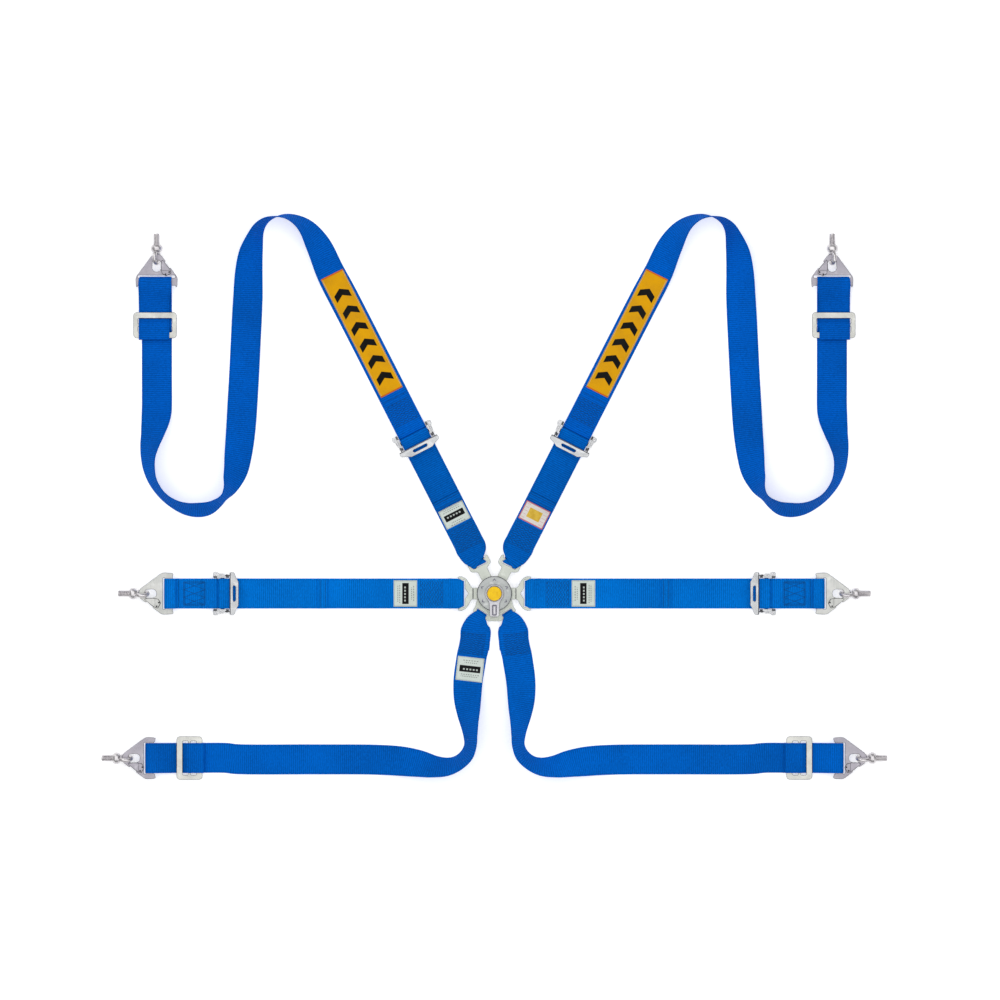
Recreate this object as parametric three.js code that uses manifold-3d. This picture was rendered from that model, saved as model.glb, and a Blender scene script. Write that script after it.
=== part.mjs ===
// Six-point racing harness laid out flat: a rotary cam-lock buckle, four release tongues, webbing belts,
// tilt-lock adjusters, three-bar slides, snap hooks and eyebolts.
// Millimetres, +Z up. The origin is under the centre of the buckle, on the surface the harness lies on.
import * as THREE from 'three';
import { mergeVertices } from 'three/addons/utils/BufferGeometryUtils.js';
import Module from 'manifold-3d';

const wasm = await Module();
wasm.setup();

// ---- driving dimensions -------------------------------------------------------------------------------
const GAP = 0.3; // clearance kept between pieces that touch
const WEB_W = 50; // width of the webbing
const WEB_T = 1.6; // thickness of the webbing
const SHOULDER_ANGLE = 27; // degrees between a shoulder belt and the Y axis
const LAYER = WEB_T + GAP; // height of one layer of webbing on another

const DISC_R = 28.6; // buckle body and cover radius
const FLANGE_Z = 4.15; // underside of the back plate's flange
const FLANGE_T = 2.5;
const BODY_Z = FLANGE_Z + FLANGE_T + GAP; // underside of the buckle body
const BODY_TOP = 20;
const TONGUE_Z = 9.6; // underside of the tongues
const TONGUE_T = 3;
const COVER_TOP = 23;
const HUB_R = 15.5; // hub of the release lever
const LEVER_LENGTH = 38.5;
const LEVER_W = 17;
const CAP_R = 11.8;
const PIN_CIRCLE_R = 19.5; // circle that the latch pins stand on
const PIN_R = 2.8;
const PIN_LIFT = 4; // mm that a latch pin rises over the lever's full turn
const LEVER_TURN = 60; // degrees

const EYE_R = 10; // centreline radius of an eyebolt's ring
const EYE_WIRE_R = 3.4;
const EYE_Z = EYE_R + EYE_WIRE_R; // the ring stands on the surface
const SHANK_R = 5.55; // 7/16 in thread
const HOOK_T = 3;
const HOOK_HALF_W = 34.3;
const LOOP_R = 6.9; // inside radius of the loop round a hook's bar
// Distances from a hook's nose: the webbing loop's axis, the plate's rear edge and the slide's middle.
// A shoulder belt's upper layer lies to one side of its lower one, so its hook has a longer slot.
const HOOKS = {
  shoulder: { axis: 46.4, length: 56, slide: 118.5, slotHalf: 30.8, slideShift: -2.9, returnShift: -4.4 },
  lap: { axis: 51, length: 58, slotHalf: 26 },
  crotch: { axis: 47, length: 56, slide: 112, slotHalf: 26, slideShift: 0, returnShift: 0 },
};

const SHOULDER_END = [-562.5, 565.5]; // nose of the left shoulder hook
const LAP_END = [-592.5, 0];
const CROTCH_END = [-620, -274];
const ADJUSTER_SHOULDER = 292; // distance from the buckle's centre to the grip bar
const ADJUSTER_LAP = 453;

// Route of the left shoulder belt between its adjuster and its slide: x, y, tilt of the webbing in degrees.
// At 0 and at 180 the webbing lies flat, and between them it stands on one edge.
const SHOULDER_ROUTE = [
  [-169, 332, 0], [-212, 416, 0], [-251, 492, 3], [-274, 536, 18], [-293, 579, 34], [-313, 609, 56],
  [-330, 622, 70], [-347, 628, 80], [-366, 627, 90], [-381, 621, 100], [-391, 611, 109], [-398, 596, 119],
  [-405, 569, 139], [-409, 535, 154], [-411, 489, 168], [-414, 429, 180], [-418, 349, 180], [-423, 269, 166],
  [-427, 229, 153], [-430, 209, 144], [-436, 189, 129], [-442, 172, 112], [-450, 160, 102], [-463, 149, 108],
  [-478, 141.5, 116], [-493, 139.5, 118], [-512, 141.5, 114], [-532, 149, 108], [-552, 163, 105],
  [-568, 185, 108], [-575, 209, 115], [-576, 228, 121], [-573, 249, 132], [-568, 269, 144], [-564, 289, 162],
  [-562.5, 309, 180], [-562.5, 360, 180], [-562.5, 385, 180],
];
// Route of the left crotch belt between the back plate and its slide.
const CROTCH_ROUTE = [
  [-31.5, -68, 0], [-35, -91, 0], [-39, -112, 2], [-43.5, -143, 12], [-44.5, -170, 22], [-43, -195, 38],
  [-41.5, -215, 52], [-40, -235, 62], [-40, -252, 66], [-46, -268, 64], [-60, -281, 62], [-78, -288, 55],
  [-103, -288, 44], [-130, -283, 26], [-160, -279, 10], [-200, -277, 0], [-300, -276.5, 0], [-430, -276, 0],
];

// ---- solids -------------------------------------------------------------------------------------------
const rad = THREE.MathUtils.degToRad;

function clean(geometry) {
  const g = geometry.index ? geometry : mergeVertices(stripped(geometry), 1e-4);
  return g;
}

function stripped(geometry) {
  const g = geometry.clone();
  for (const name of Object.keys(g.attributes)) {
    if (name !== 'position') g.deleteAttribute(name);
  }
  return g;
}

function toManifold(geometry) {
  const g = mergeVertices(stripped(geometry), 1e-4);
  const mesh = new wasm.Mesh({
    numProp: 3,
    vertProperties: new Float32Array(g.attributes.position.array),
    triVerts: new Uint32Array(g.index.array),
  });
  return new wasm.Manifold(mesh);
}

function fromManifold(solid) {
  const mesh = solid.getMesh();
  const g = new THREE.BufferGeometry();
  g.setAttribute('position', new THREE.BufferAttribute(new Float32Array(mesh.vertProperties), 3));
  g.setIndex(new THREE.BufferAttribute(new Uint32Array(mesh.triVerts), 1));
  g.computeVertexNormals();
  return g;
}

function add(...pieces) {
  return fromManifold(pieces.map(toManifold).reduce((a, b) => a.add(b)));
}

function cut(base, ...tools) {
  return fromManifold(tools.map(toManifold).reduce((a, b) => a.subtract(b), toManifold(base)));
}

// Plate between two heights from an outline of [x, y] points, with optional holes.
function plate(outline, z0, z1, holes = []) {
  const points = outline instanceof THREE.Shape ? null : outline.map((p) => new THREE.Vector2(...p));
  const shape = points ? new THREE.Shape(points) : outline;
  for (const hole of holes) shape.holes.push(new THREE.Path(hole.map((p) => new THREE.Vector2(...p))));
  const g = new THREE.ExtrudeGeometry(shape, { depth: z1 - z0, bevelEnabled: false, curveSegments: 8 });
  return g.translate(0, 0, z0);
}

function disc(radius, z0, z1, segments = 40) {
  const cylinder = new THREE.CylinderGeometry(radius, radius, z1 - z0, segments);
  return cylinder.rotateX(Math.PI / 2).translate(0, 0, (z0 + z1) / 2);
}

function block(x0, x1, y0, y1, z0, z1) {
  const box = new THREE.BoxGeometry(x1 - x0, y1 - y0, z1 - z0);
  return box.translate((x0 + x1) / 2, (y0 + y1) / 2, (z0 + z1) / 2);
}

function mirrored(geometry) {
  const g = mergeVertices(stripped(geometry), 1e-4);
  g.scale(-1, 1, 1);
  const index = g.index.array;
  for (let i = 0; i < index.length; i += 3) {
    [index[i], index[i + 1]] = [index[i + 1], index[i]];
  }
  g.computeVertexNormals();
  return g;
}

// Webbing swept along stations of { p, w, h }: centre, unit vector across the webbing and half its width.
function strip(stations, closed = false) {
  const n = stations.length;
  const positions = [];
  for (let i = 0; i < n; i += 1) {
    const before = stations[closed ? (i + n - 1) % n : Math.max(i - 1, 0)].p;
    const after = stations[closed ? (i + 1) % n : Math.min(i + 1, n - 1)].p;
    const along = after.clone().sub(before).normalize();
    const { p, w, h } = stations[i];
    const up = along.clone().cross(w).normalize().multiplyScalar(WEB_T / 2);
    const across = w.clone().multiplyScalar(h);
    for (const [a, b] of [[1, 1], [-1, 1], [-1, -1], [1, -1]]) {
      positions.push(...p.clone().addScaledVector(across, a).addScaledVector(up, b).toArray());
    }
  }
  const index = [];
  const spans = closed ? n : n - 1;
  for (let i = 0; i < spans; i += 1) {
    const a = i * 4;
    const b = ((i + 1) % n) * 4;
    for (let k = 0; k < 4; k += 1) {
      const m = (k + 1) % 4;
      // Both faces share one diagonal, so twisted webbing keeps its thickness.
      if (k === 2) index.push(a + k, b + k, a + m, b + k, b + m, a + m);
      else index.push(a + k, b + k, b + m, a + k, b + m, a + m);
    }
  }
  if (!closed) {
    const e = (n - 1) * 4;
    index.push(0, 1, 2, 0, 2, 3, e, e + 2, e + 1, e, e + 3, e + 2);
  }
  const g = new THREE.BufferGeometry();
  g.setAttribute('position', new THREE.BufferAttribute(new Float32Array(positions), 3));
  g.setIndex(index);
  g.computeVertexNormals();
  return toManifold(g).volume() > 0 ? g : flipped(g);
}

function flipped(g) {
  const index = g.index.array;
  for (let i = 0; i < index.length; i += 3) [index[i], index[i + 1]] = [index[i + 1], index[i]];
  g.computeVertexNormals();
  return g;
}

// Stations of a free route whose lower edge lies on the surface.
function layFree(rows) {
  return rows.map(([x, y, tilt], i) => {
    const before = rows[Math.max(i - 1, 0)];
    const after = rows[Math.min(i + 1, rows.length - 1)];
    const dx = after[0] - before[0];
    const dy = after[1] - before[1];
    const size = Math.hypot(dx, dy);
    const t = rad(tilt);
    const w = new THREE.Vector3(-dy / size * Math.cos(t), dx / size * Math.cos(t), Math.sin(t));
    const z = WEB_W / 2 * Math.abs(Math.sin(t)) + WEB_T / 2 * Math.abs(Math.cos(t)) + 0.05;
    return { p: new THREE.Vector3(x, y, z), w, h: WEB_W / 2 };
  });
}

// Stations along a belt: rows of [distance, height, half width, shift to the left].
function layAlong(origin, direction, rows) {
  const w = new THREE.Vector3(-direction.y, direction.x, 0);
  return rows.map(([s, z, h = WEB_W / 2, shift = 0]) => {
    const p = new THREE.Vector3(origin.x + direction.x * s, origin.y + direction.y * s, z);
    return { p: p.addScaledVector(w, shift), w: w.clone(), h };
  });
}

// Part of a circle in the upright plane, as [distance, height, half width] rows.
function turn(s, z, r, from, to, steps, h = WEB_W / 2) {
  return Array.from({ length: steps + 1 }, (_, i) => {
    const a = rad(from + (to - from) * i / steps);
    return [s + r * Math.cos(a), z + r * Math.sin(a), h];
  });
}

// ---- belt ends: distances run inwards from the hook's nose --------------------------------------------
const LOOP_MID = LOOP_R + WEB_T / 2;
const FLOOR = WEB_T / 2 + 0.05; // centre height of webbing that lies on the surface
const SECOND = FLOOR + LAYER; // and of a second layer on it

// Loop round a hook's bar, from the layer below to the layer above, nose side at the small distances.
function hookLoop({ axis }) {
  return [
    [axis + 9, EYE_Z - LOOP_MID + 0.3],
    ...turn(axis, EYE_Z, LOOP_MID, 270, 90, 8),
    [axis + 9, EYE_Z + LOOP_MID - 0.5],
  ];
}

const SLIDE_Z = 5.4;
const SLIDE_T = 2.5;
const SLIDE_HALF = [21.5, 36];
const SLIDE_WINDOWS = [[2, 11.5], [-11.5, -2]];
const SLIDE_WINDOW_HALF = 28.4;

// The belt comes in under the slide's inner bar, over the middle bar and under the outer bar, goes round the
// hook, and comes back on top of itself over both bars, with its tip tucked round the inner bar.
function slideMain(s) {
  return [
    [s + 60, FLOOR], [s + 12, 0.9], [s + 10, 1.8], [s + 3.5, 8.3], [s + 1.4, 9.3], [s - 1.6, 9.3],
    [s - 3.4, 8.4],
    [s - 11.6, 1.3], [s - 13.5, 0.9], [s - 22, 0.95],
  ];
}

function slideReturn(s) {
  return [
    [s - 22, 3.2], [s - 13.5, 3.0], [s - 11.2, 4.0], [s - 3.4, 10.9], [s - 1, 11.7], [s + 3, 11.6],
    [s + 10, 10], [s + 19, 9.2], [s + 22, 8.9], [s + 23.4, 7.6], [s + 23.6, 5.8], [s + 22.6, 4.3],
    [s + 20, 3.9], [s + 12, 3.7],
  ];
}

// Rows of a belt's outer end, from the open belt to the tucked tip.
function slideEnd(hook) {
  const half = WEB_W / 2;
  const loop = hookLoop(hook);
  const side = (rows, shift) => rows.map(([s, z]) => [s, z, half, shift]);
  return [
    ...side([...slideMain(hook.slide), [hook.axis + 34, 2.2], [hook.axis + 20, 4.6]], 0),
    ...loop.map(([s, z], i) => [s, z, half, hook.returnShift * i / (loop.length - 1)]),
    ...side([[hook.axis + 20, 15.6], [hook.axis + 34, 8.5], ...slideReturn(hook.slide)], hook.returnShift),
  ];
}

// ---- hardware in belt coordinates: x runs inwards from the hook's nose, y across, z up -----------------
function hookPlate({ axis, length, slotHalf }) {
  const half = HOOK_HALF_W;
  const upper = [
    [axis + 6.4, slotHalf + 0.6], [length - 1.5, slotHalf + 1], [length, half - 1.5], [length - 2, half],
    [43, half + 0.6],
    [38, half], [3, 8.5], [0.3, 3.5],
  ];
  const outline = [...upper.slice().reverse().map(([x, y]) => [x, -y]), ...upper];
  const eye = [
    [10.4, -3.6], [12.5, -6.6], [24, -7.4], [28.5, -5], [30, 0], [28.5, 5], [24, 7.4], [12.5, 6.6],
    [10.4, 3.6],
  ];
  const slot = [
    [axis - 9.5, -slotHalf], [axis - 6.4, -slotHalf], [axis - 6.4, slotHalf], [axis - 9.5, slotHalf],
  ];
  const mouth = block(14.5, 23.5, -26, -5, EYE_Z - HOOK_T, EYE_Z + HOOK_T);
  return cut(plate(outline, EYE_Z - HOOK_T / 2, EYE_Z + HOOK_T / 2, [eye, slot]), mouth);
}

const GATE_X = 30.5; // hinge line of the spring gate
const GATE_Z = EYE_Z + HOOK_T / 2 + GAP;
function gate() {
  const leaf = [
    [7.5, -8.2], [13, -7.6], [24, -8.4], [31, -8.2], [34.4, -10.5], [34.4, -17.5], [31, -20],
    [24, -16.5], [12, -13],
  ];
  return plate(leaf, GATE_Z, GATE_Z + 1.2);
}

const EYE_X = 5.5; // centre of the eyebolt's ring, from the hook's nose
const YAW_X = EYE_X + EYE_R;
function eyebolt() {
  const ring = new THREE.TorusGeometry(EYE_R, EYE_WIRE_R, 8, 16);
  ring.rotateX(Math.PI / 2).translate(EYE_X, 0, EYE_Z);
  const profile = [
    [0, -3.4], [5.2, -4.4], [7.5, -9], [10.2, -10.5], [10.2, -15.6], [SHANK_R, -15.6], [SHANK_R, -32.8],
    [4.6, -34], [0, -34],
  ];
  const lathe = new THREE.LatheGeometry(profile.map(([r, z]) => new THREE.Vector2(r, z)), 12);
  lathe.rotateZ(-Math.PI / 2).translate(0, 0, EYE_Z);
  const solid = toManifold(lathe).volume() > 0 ? lathe : flipped(mergeVertices(stripped(lathe), 1e-4));
  return add(ring, solid);
}

function threeBarSlide() {
  const [a, b] = SLIDE_HALF;
  const outer = [
    [-a, -b + 4], [-a + 4, -b], [a - 4, -b], [a, -b + 4], [a, b - 4], [a - 4, b], [-a + 4, b], [-a, b - 4],
  ];
  const w = SLIDE_WINDOW_HALF;
  const windows = SLIDE_WINDOWS.map(([p, q]) => block(p, q, -w, w, 0, 2 * SLIDE_Z));
  return cut(plate(outer, SLIDE_Z, SLIDE_Z + SLIDE_T), ...windows);
}

// ---- adjuster in belt coordinates: x runs outwards from the grip bar, y across, z up ---------------------
const GRIP_Z = 7.6;
const GRIP_R = 3.6;
const WRAP_MID = GRIP_R + GAP + WEB_T / 2;
const REAR_BAR_X = 11.6;
const REAR_BAR = [2.2, 1.5]; // half length and half height of the frame's rear bar
const REAR_BAR_Z = 5;
const CHEEK_Y = [26.2, 29];

function adjusterFrame() {
  const side = [[-11, 2], [15.5, 2], [15.5, 9], [9, 13.5], [-6, 13.5], [-11, 9.5]];
  const cheeks = [-1, 1].map((sign) => {
    const y0 = sign > 0 ? CHEEK_Y[0] : -CHEEK_Y[1];
    const cheek = CHEEK_Y[1] - CHEEK_Y[0];
    const solid = plate(side, 0, cheek).rotateX(Math.PI / 2).translate(0, y0 + cheek, 0);
    return solid;
  });
  const lips = [-1, 1].map((sign) => {
    const [low, high] = sign > 0 ? [CHEEK_Y[0] + 1, 36] : [-36, -CHEEK_Y[0] - 1];
    const lip = sign > 0
      ? [[-3.2, low], [15.5, low], [15.5, high], [9, high], [6, high - 3], [-3.2, high - 3]]
      : [[-3.2, high], [15.5, high], [15.5, low], [9, low], [6, low + 3], [-3.2, low + 3]];
    return plate(lip, 6, 8.6);
  });
  const [a, b] = REAR_BAR;
  const bar = block(REAR_BAR_X - a, REAR_BAR_X + a, -27, 27, REAR_BAR_Z - b, REAR_BAR_Z + b);
  const bore = (radius, segments) => new THREE.CylinderGeometry(radius, radius, 8, segments);
  const holes = [-1, 1].map((sign) => bore(2.7, 12).translate(0, sign * 27.6, GRIP_Z));
  const pivots = [-1, 1].map((sign) => bore(1.9, 10).translate(LEVER_X, sign * 27.6, LEVER_Z));
  return cut(add(cheeks[0], cheeks[1], lips[0], lips[1], bar), ...holes, ...pivots);
}

function gripBar() {
  const drum = new THREE.CylinderGeometry(GRIP_R, GRIP_R, 51.6, 12);
  const journal = new THREE.CylinderGeometry(2.4, 2.4, 57.6, 12);
  return add(drum, journal).translate(0, 0, GRIP_Z);
}

// The release lever turns about a pin line through the cheeks, and its plate slopes over the webbing.
const LEVER_X = -7.2;
const LEVER_Z = 6.2;
function adjusterLever() {
  const profile = [
    [-12.2, 13.9], [-14, 14.2], [-17, 13.4], [-27, 10.8], [-27.4, 8.8], [-26, 8.6], [-16.6, 11.2], [-12.6, 11.9],
  ];
  const width = 36;
  const sheet = plate(profile, -width, width).rotateX(Math.PI / 2);
  const window = block(-23, -19, -14, 14, 0, 30);
  const corners = [-1, 1].map((sign) => {
    const corner = [[-30, sign * 26], [-24, sign * 37], [-24, sign * 40], [-34, sign * 40], [-34, sign * 26]];
    return plate(sign > 0 ? corner.reverse() : corner, 0, 30);
  });
  const arms = [-1, 1].map((sign) => {
    const arm = [[-17, 13.4], [-12.4, 13.8], [-4.4, 8.5], [-4.4, 4], [-9.5, 4], [-16.5, 11.5]];
    const low = sign > 0 ? CHEEK_Y[1] + GAP : -CHEEK_Y[1] - GAP - 2;
    return plate(arm, 0, 2).rotateX(Math.PI / 2).translate(0, low + 2, 0);
  });
  const peg = () => new THREE.CylinderGeometry(1.5, 1.5, 4.6, 10);
  const pegs = [-1, 1].map((sign) => peg().translate(LEVER_X, sign * 28.9, LEVER_Z));
  return add(cut(sheet, window, ...corners), ...arms, ...pegs);
}

// Rows of a belt that comes from the buckle, goes round the grip bar and ends as a tail lying on itself.
function gripWrap(tailLength) {
  return [
    [-60, FLOOR], [-22, FLOOR], [-8, 1.5], [-3, GRIP_Z - WRAP_MID - 0.1],
    ...turn(0, GRIP_Z, WRAP_MID, 275, 450, 9),
    [-5, GRIP_Z + WRAP_MID - 1.4], [-12, 8.4], [-20, 5.2], [-30, SECOND + 0.3], [-45, SECOND],
    [-tailLength + 12, SECOND], [-tailLength, SECOND],
  ];
}

// Loop of webbing round the frame's rear bar, from the layer above to the layer below.
function rearLoop() {
  const [a, b] = REAR_BAR;
  const r = b + GAP + WEB_T / 2;
  return [
    [REAR_BAR_X + 22, SECOND + 0.2], [REAR_BAR_X + a + 4, REAR_BAR_Z + r - 0.6],
    [REAR_BAR_X + a, REAR_BAR_Z + r],
    ...turn(REAR_BAR_X - a + 0.9, REAR_BAR_Z, r, 90, 270, 8),
    [REAR_BAR_X + a + 4, REAR_BAR_Z - r - 0.3], [REAR_BAR_X + 22, FLOOR],
  ];
}

// ---- tongues in belt coordinates: x runs outwards from the buckle's centre --------------------------------
const FORK = [[14.8, -6], [24, -6]];
function tongue(neckHalf, outline, slotAt, barHalf, notch = []) {
  const fork = 3.3;
  const shape = [
    ...outline.slice().reverse().map(([x, y]) => [x, -y]),
    [28, -neckHalf], [FORK[1][0], FORK[1][1]], [FORK[0][0], FORK[0][1]], [FORK[0][0], -fork],
    [FORK[1][0] - 0.5, -fork], [FORK[1][0] - 0.5, fork], [FORK[0][0], fork], [FORK[0][0], -FORK[0][1]],
    [FORK[1][0], -FORK[1][1]], [28, neckHalf], ...outline,
  ];
  const w = barHalf;
  const slot = [[slotAt, -w], [slotAt + 4, -w], [slotAt + 4, w], [slotAt, w], ...notch];
  return plate(shape, TONGUE_Z, TONGUE_Z + TONGUE_T, [slot]);
}

function shoulderTongue() {
  const outline = [[44.5, 8.7], [48, 17], [51, 19], [62, 18.7], [64.5, 17], [64.5, 14.5], [60.5, 13.4]];
  return tongue(8.7, outline, 51.5, 12.6);
}

function lapTongue() {
  const outline = [
    [36.5, 9.6], [39.5, 12], [43, 19], [47.5, 25.2], [54, 28.6], [60.5, 28.4], [61.4, 25.6], [58.4, 24.2],
  ];
  return tongue(9.6, outline, 49.2, 22.6, [[49.2, 9], [43.4, 0], [49.2, -9]]);
}

// Loop round a tongue's bar, from the layer above to the layer below.
function tongueLoop(slotAt, barEnd, h0, h1, lapLength) {
  const mid = TONGUE_Z + TONGUE_T / 2;
  const r = TONGUE_T / 2 + GAP + WEB_T / 2;
  const middle = Math.min((h0 + h1) / 2 + 2, h1);
  return [
    [slotAt + lapLength, FLOOR, h1], [slotAt + 44, FLOOR, h1], [slotAt + 31, 1.6, h1],
    [slotAt + 20, 4.6, middle],
    [barEnd + 2, mid - r - 0.2, h0], [barEnd - 1, mid - r, h0],
    ...turn(slotAt + 2 + r, mid, r, 270, 90, 8, h0),
    [barEnd - 1, mid + r, h0], [barEnd + 2, mid + r - 0.6, h0],
    [slotAt + 20, 7.6, middle], [slotAt + 31, 4.2, h1], [slotAt + 44, SECOND + 0.3, h1],
    [slotAt + lapLength + 6, SECOND, h1], [slotAt + lapLength + 16, FLOOR, h1],
  ];
}

// ---- buckle -----------------------------------------------------------------------------------------------
const SLOT_NORMAL = new THREE.Vector2(-0.55, -0.835).normalize(); // from the centre to the left crotch bar
const CROTCH_BAR_D = 41.4; // distance of the crotch belt's bar from the centre
const CROTCH_BAR_Z = FLANGE_Z + FLANGE_T / 2;
const CROTCH_LOOP_MID = 4.4;
const CROTCH_BAR_HALF = 10.4;

function backPlate() {
  const bar = CROTCH_BAR_D + 3;
  const edge = new THREE.Vector2(-SLOT_NORMAL.y, SLOT_NORMAL.x);
  const at = (d, e) => [SLOT_NORMAL.x * d + edge.x * e, SLOT_NORMAL.y * d + edge.y * e];
  const lobe = [at(bar - 8, -14.5), at(bar - 1.5, -14.5), at(bar, -12.5), at(bar, 12.5)];
  const side = [[-27.5, -5], lobe[0], lobe[1], lobe[2], lobe[3], [-12, -44.5], [-10.5, -46]];
  const flip = side.slice().reverse().map(([x, y]) => [-x, y]);
  const top = [[27.5, 5], [24, 14], [14, 24], [0, 27.5], [-14, 24], [-24, 14], [-27.5, 5]];
  const half = CROTCH_BAR_HALF;
  const [near, far] = [CROTCH_BAR_D - 6, CROTCH_BAR_D - 3];
  const slotL = [at(near, -half), at(far, -half), at(far, half), at(near, half)];
  const slotR = slotL.map(([x, y]) => [-x, y]).reverse();
  const flange = plate([...side, ...flip, ...top], FLANGE_Z, FLANGE_Z + FLANGE_T, [slotL, slotR]);
  return cut(add(flange, disc(26.5, 0, FLANGE_Z + 1)), disc(2.3, 1, 20, 12));
}

const TONGUE_ANGLES = {
  lap_right: 0, shoulder_right: 90 - SHOULDER_ANGLE, shoulder_left: 90 + SHOULDER_ANGLE, lap_left: 180,
};

function buckleBody() {
  const cavity = disc(25, BODY_Z + 2, BODY_TOP + 1);
  const shell = cut(disc(DISC_R, BODY_Z, BODY_TOP), cavity, disc(3.2, 0, 30, 16));
  const slots = Object.entries(TONGUE_ANGLES).map(([name, angle]) => {
    const half = name.startsWith('lap') ? 10 : 9.1;
    return block(20, 32, -half, half, TONGUE_Z - GAP, TONGUE_Z + TONGUE_T + GAP).rotateZ(rad(angle));
  });
  return cut(shell, ...slots);
}

function buckleCover() {
  const profile = [
    [9.2, BODY_TOP + GAP], [27.8, BODY_TOP + GAP], [DISC_R + 0.5, BODY_TOP + 1], [DISC_R + 0.5, COVER_TOP - 1],
    [DISC_R - 0.7, COVER_TOP], [9.2, COVER_TOP], [9.2, BODY_TOP + GAP],
  ];
  const section = profile.map(([r, z]) => new THREE.Vector2(r, z));
  const ring = new THREE.LatheGeometry(section, 48).rotateX(Math.PI / 2);
  return toManifold(ring).volume() > 0 ? ring : flipped(mergeVertices(stripped(ring), 1e-4));
}

const LEVER_BOTTOM = COVER_TOP + GAP;
const LEVER_TOP = LEVER_BOTTOM + 4.6;
function releaseLever() {
  const half = LEVER_W / 2;
  const outline = new THREE.Shape();
  outline.absarc(0, 0, HUB_R, rad(-42), rad(222), false);
  outline.lineTo(-half, -17);
  outline.lineTo(-half, -LEVER_LENGTH + 3);
  outline.quadraticCurveTo(-half, -LEVER_LENGTH, -half + 3, -LEVER_LENGTH);
  outline.lineTo(half - 3, -LEVER_LENGTH);
  outline.quadraticCurveTo(half, -LEVER_LENGTH, half, -LEVER_LENGTH + 3);
  outline.lineTo(half, -17);
  const recess = block(-3.4, 3.4, -LEVER_LENGTH + 2.5, -LEVER_LENGTH + 18, LEVER_TOP - 2, LEVER_TOP + 2);
  const seat = disc(CAP_R + GAP, LEVER_TOP - 1.2, LEVER_TOP + 2, 32);
  const shaft = disc(8.6, 17.6, LEVER_BOTTOM + 1, 24);
  const bore = disc(3.2, 0, LEVER_TOP - 2, 16);
  return cut(add(plate(outline, LEVER_BOTTOM, LEVER_TOP), shaft), recess, seat, bore);
}

function camRotor() {
  const shape = new THREE.Shape();
  const lobes = 4;
  for (let i = 0; i < lobes * 6; i += 1) {
    const a = (i / (lobes * 6)) * 2 * Math.PI;
    const r = 13.4 + 2.2 * Math.cos(a * lobes);
    shape[i ? 'lineTo' : 'moveTo'](r * Math.cos(a), r * Math.sin(a));
  }
  shape.closePath();
  return cut(plate(shape, 14, 17.3), disc(3.3, 0, 30, 16));
}

function returnSpring() {
  const turns = 2.5;
  const r = 7;
  class Helix extends THREE.Curve {
    getPoint(t, target = new THREE.Vector3()) {
      const a = t * turns * 2 * Math.PI;
      return target.set(r * Math.cos(a), r * Math.sin(a), BODY_Z + 3 + t * 2.9);
    }
  }
  const wire = new THREE.Shape();
  wire.absarc(0, 0, 0.5, 0, 2 * Math.PI, false);
  const along = { extrudePath: new Helix(), steps: 30, curveSegments: 3, bevelEnabled: false };
  return new THREE.ExtrudeGeometry(wire, along);
}

// ---- assembly ---------------------------------------------------------------------------------------------
const FINISH = {
  webbing: { color: 0x0a58bd, roughness: 0.85, metalness: 0 },
  satin: { color: 0xc3c8be, roughness: 0.42, metalness: 0.8 },
  zinc: { color: 0xb9b4be, roughness: 0.38, metalness: 0.9 },
  bright: { color: 0xd8dadd, roughness: 0.18, metalness: 1 },
  steel: { color: 0x8f949a, roughness: 0.35, metalness: 1 },
  yellow: { color: 0xffcc00, roughness: 0.35, metalness: 0 },
};

const harness = new THREE.Group();

function place(name, geometry, finish, parent = harness) {
  const mesh = new THREE.Mesh(clean(geometry), new THREE.MeshStandardMaterial(FINISH[finish]));
  mesh.name = name;
  parent.add(mesh);
  return mesh;
}

place('buckle_back_plate', backPlate(), 'satin');
place('buckle_body', buckleBody(), 'satin');
place('buckle_cover', buckleCover(), 'satin');
place('centre_post', disc(2, 1.3, LEVER_TOP - 2.6, 12), 'steel');
place('lever_return_spring', returnSpring(), 'steel');
place('release_lever', releaseLever(), 'satin');
place('cam_rotor', camRotor(), 'steel');
place('centre_cap', disc(CAP_R, LEVER_TOP - 0.9, LEVER_TOP + 0.3, 32), 'yellow');
for (const [name, angle] of Object.entries(TONGUE_ANGLES)) {
  const pin = disc(PIN_R, BODY_Z + 2 + GAP, 15.4, 14);
  pin.translate(PIN_CIRCLE_R * Math.cos(rad(angle)), PIN_CIRCLE_R * Math.sin(rad(angle)), 0);
  place(`latch_pin_${name}`, pin, 'steel');
}

// A group for hardware whose own +X runs from a point along a compass angle in degrees.
function station(x, y, angle) {
  const group = new THREE.Group();
  group.position.set(x, y, 0);
  group.rotation.z = rad(angle);
  harness.add(group);
  return group;
}

const bothSides = (point, angle) => [['left', point, angle], ['right', [-point[0], point[1]], 180 - angle]];

// Hooks and eyebolts. The angle is the way from the hook's nose to the belt.
// The hand says on which side of the hook its mouth and gate are, looking from the nose.
const ENDS = {
  shoulder: { point: SHOULDER_END, angle: -90, finish: 'zinc', hand: -1 },
  lap: { point: LAP_END, angle: 0, finish: 'satin', hand: 1 },
  crotch: { point: CROTCH_END, angle: 0, finish: 'zinc', hand: 1 },
};

// The hand is 1 for the shape as drawn and -1 for its mirror image about its own x axis.
function handed(geometry, hand) {
  return hand > 0 ? geometry : mirrored(geometry).rotateZ(Math.PI);
}

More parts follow.
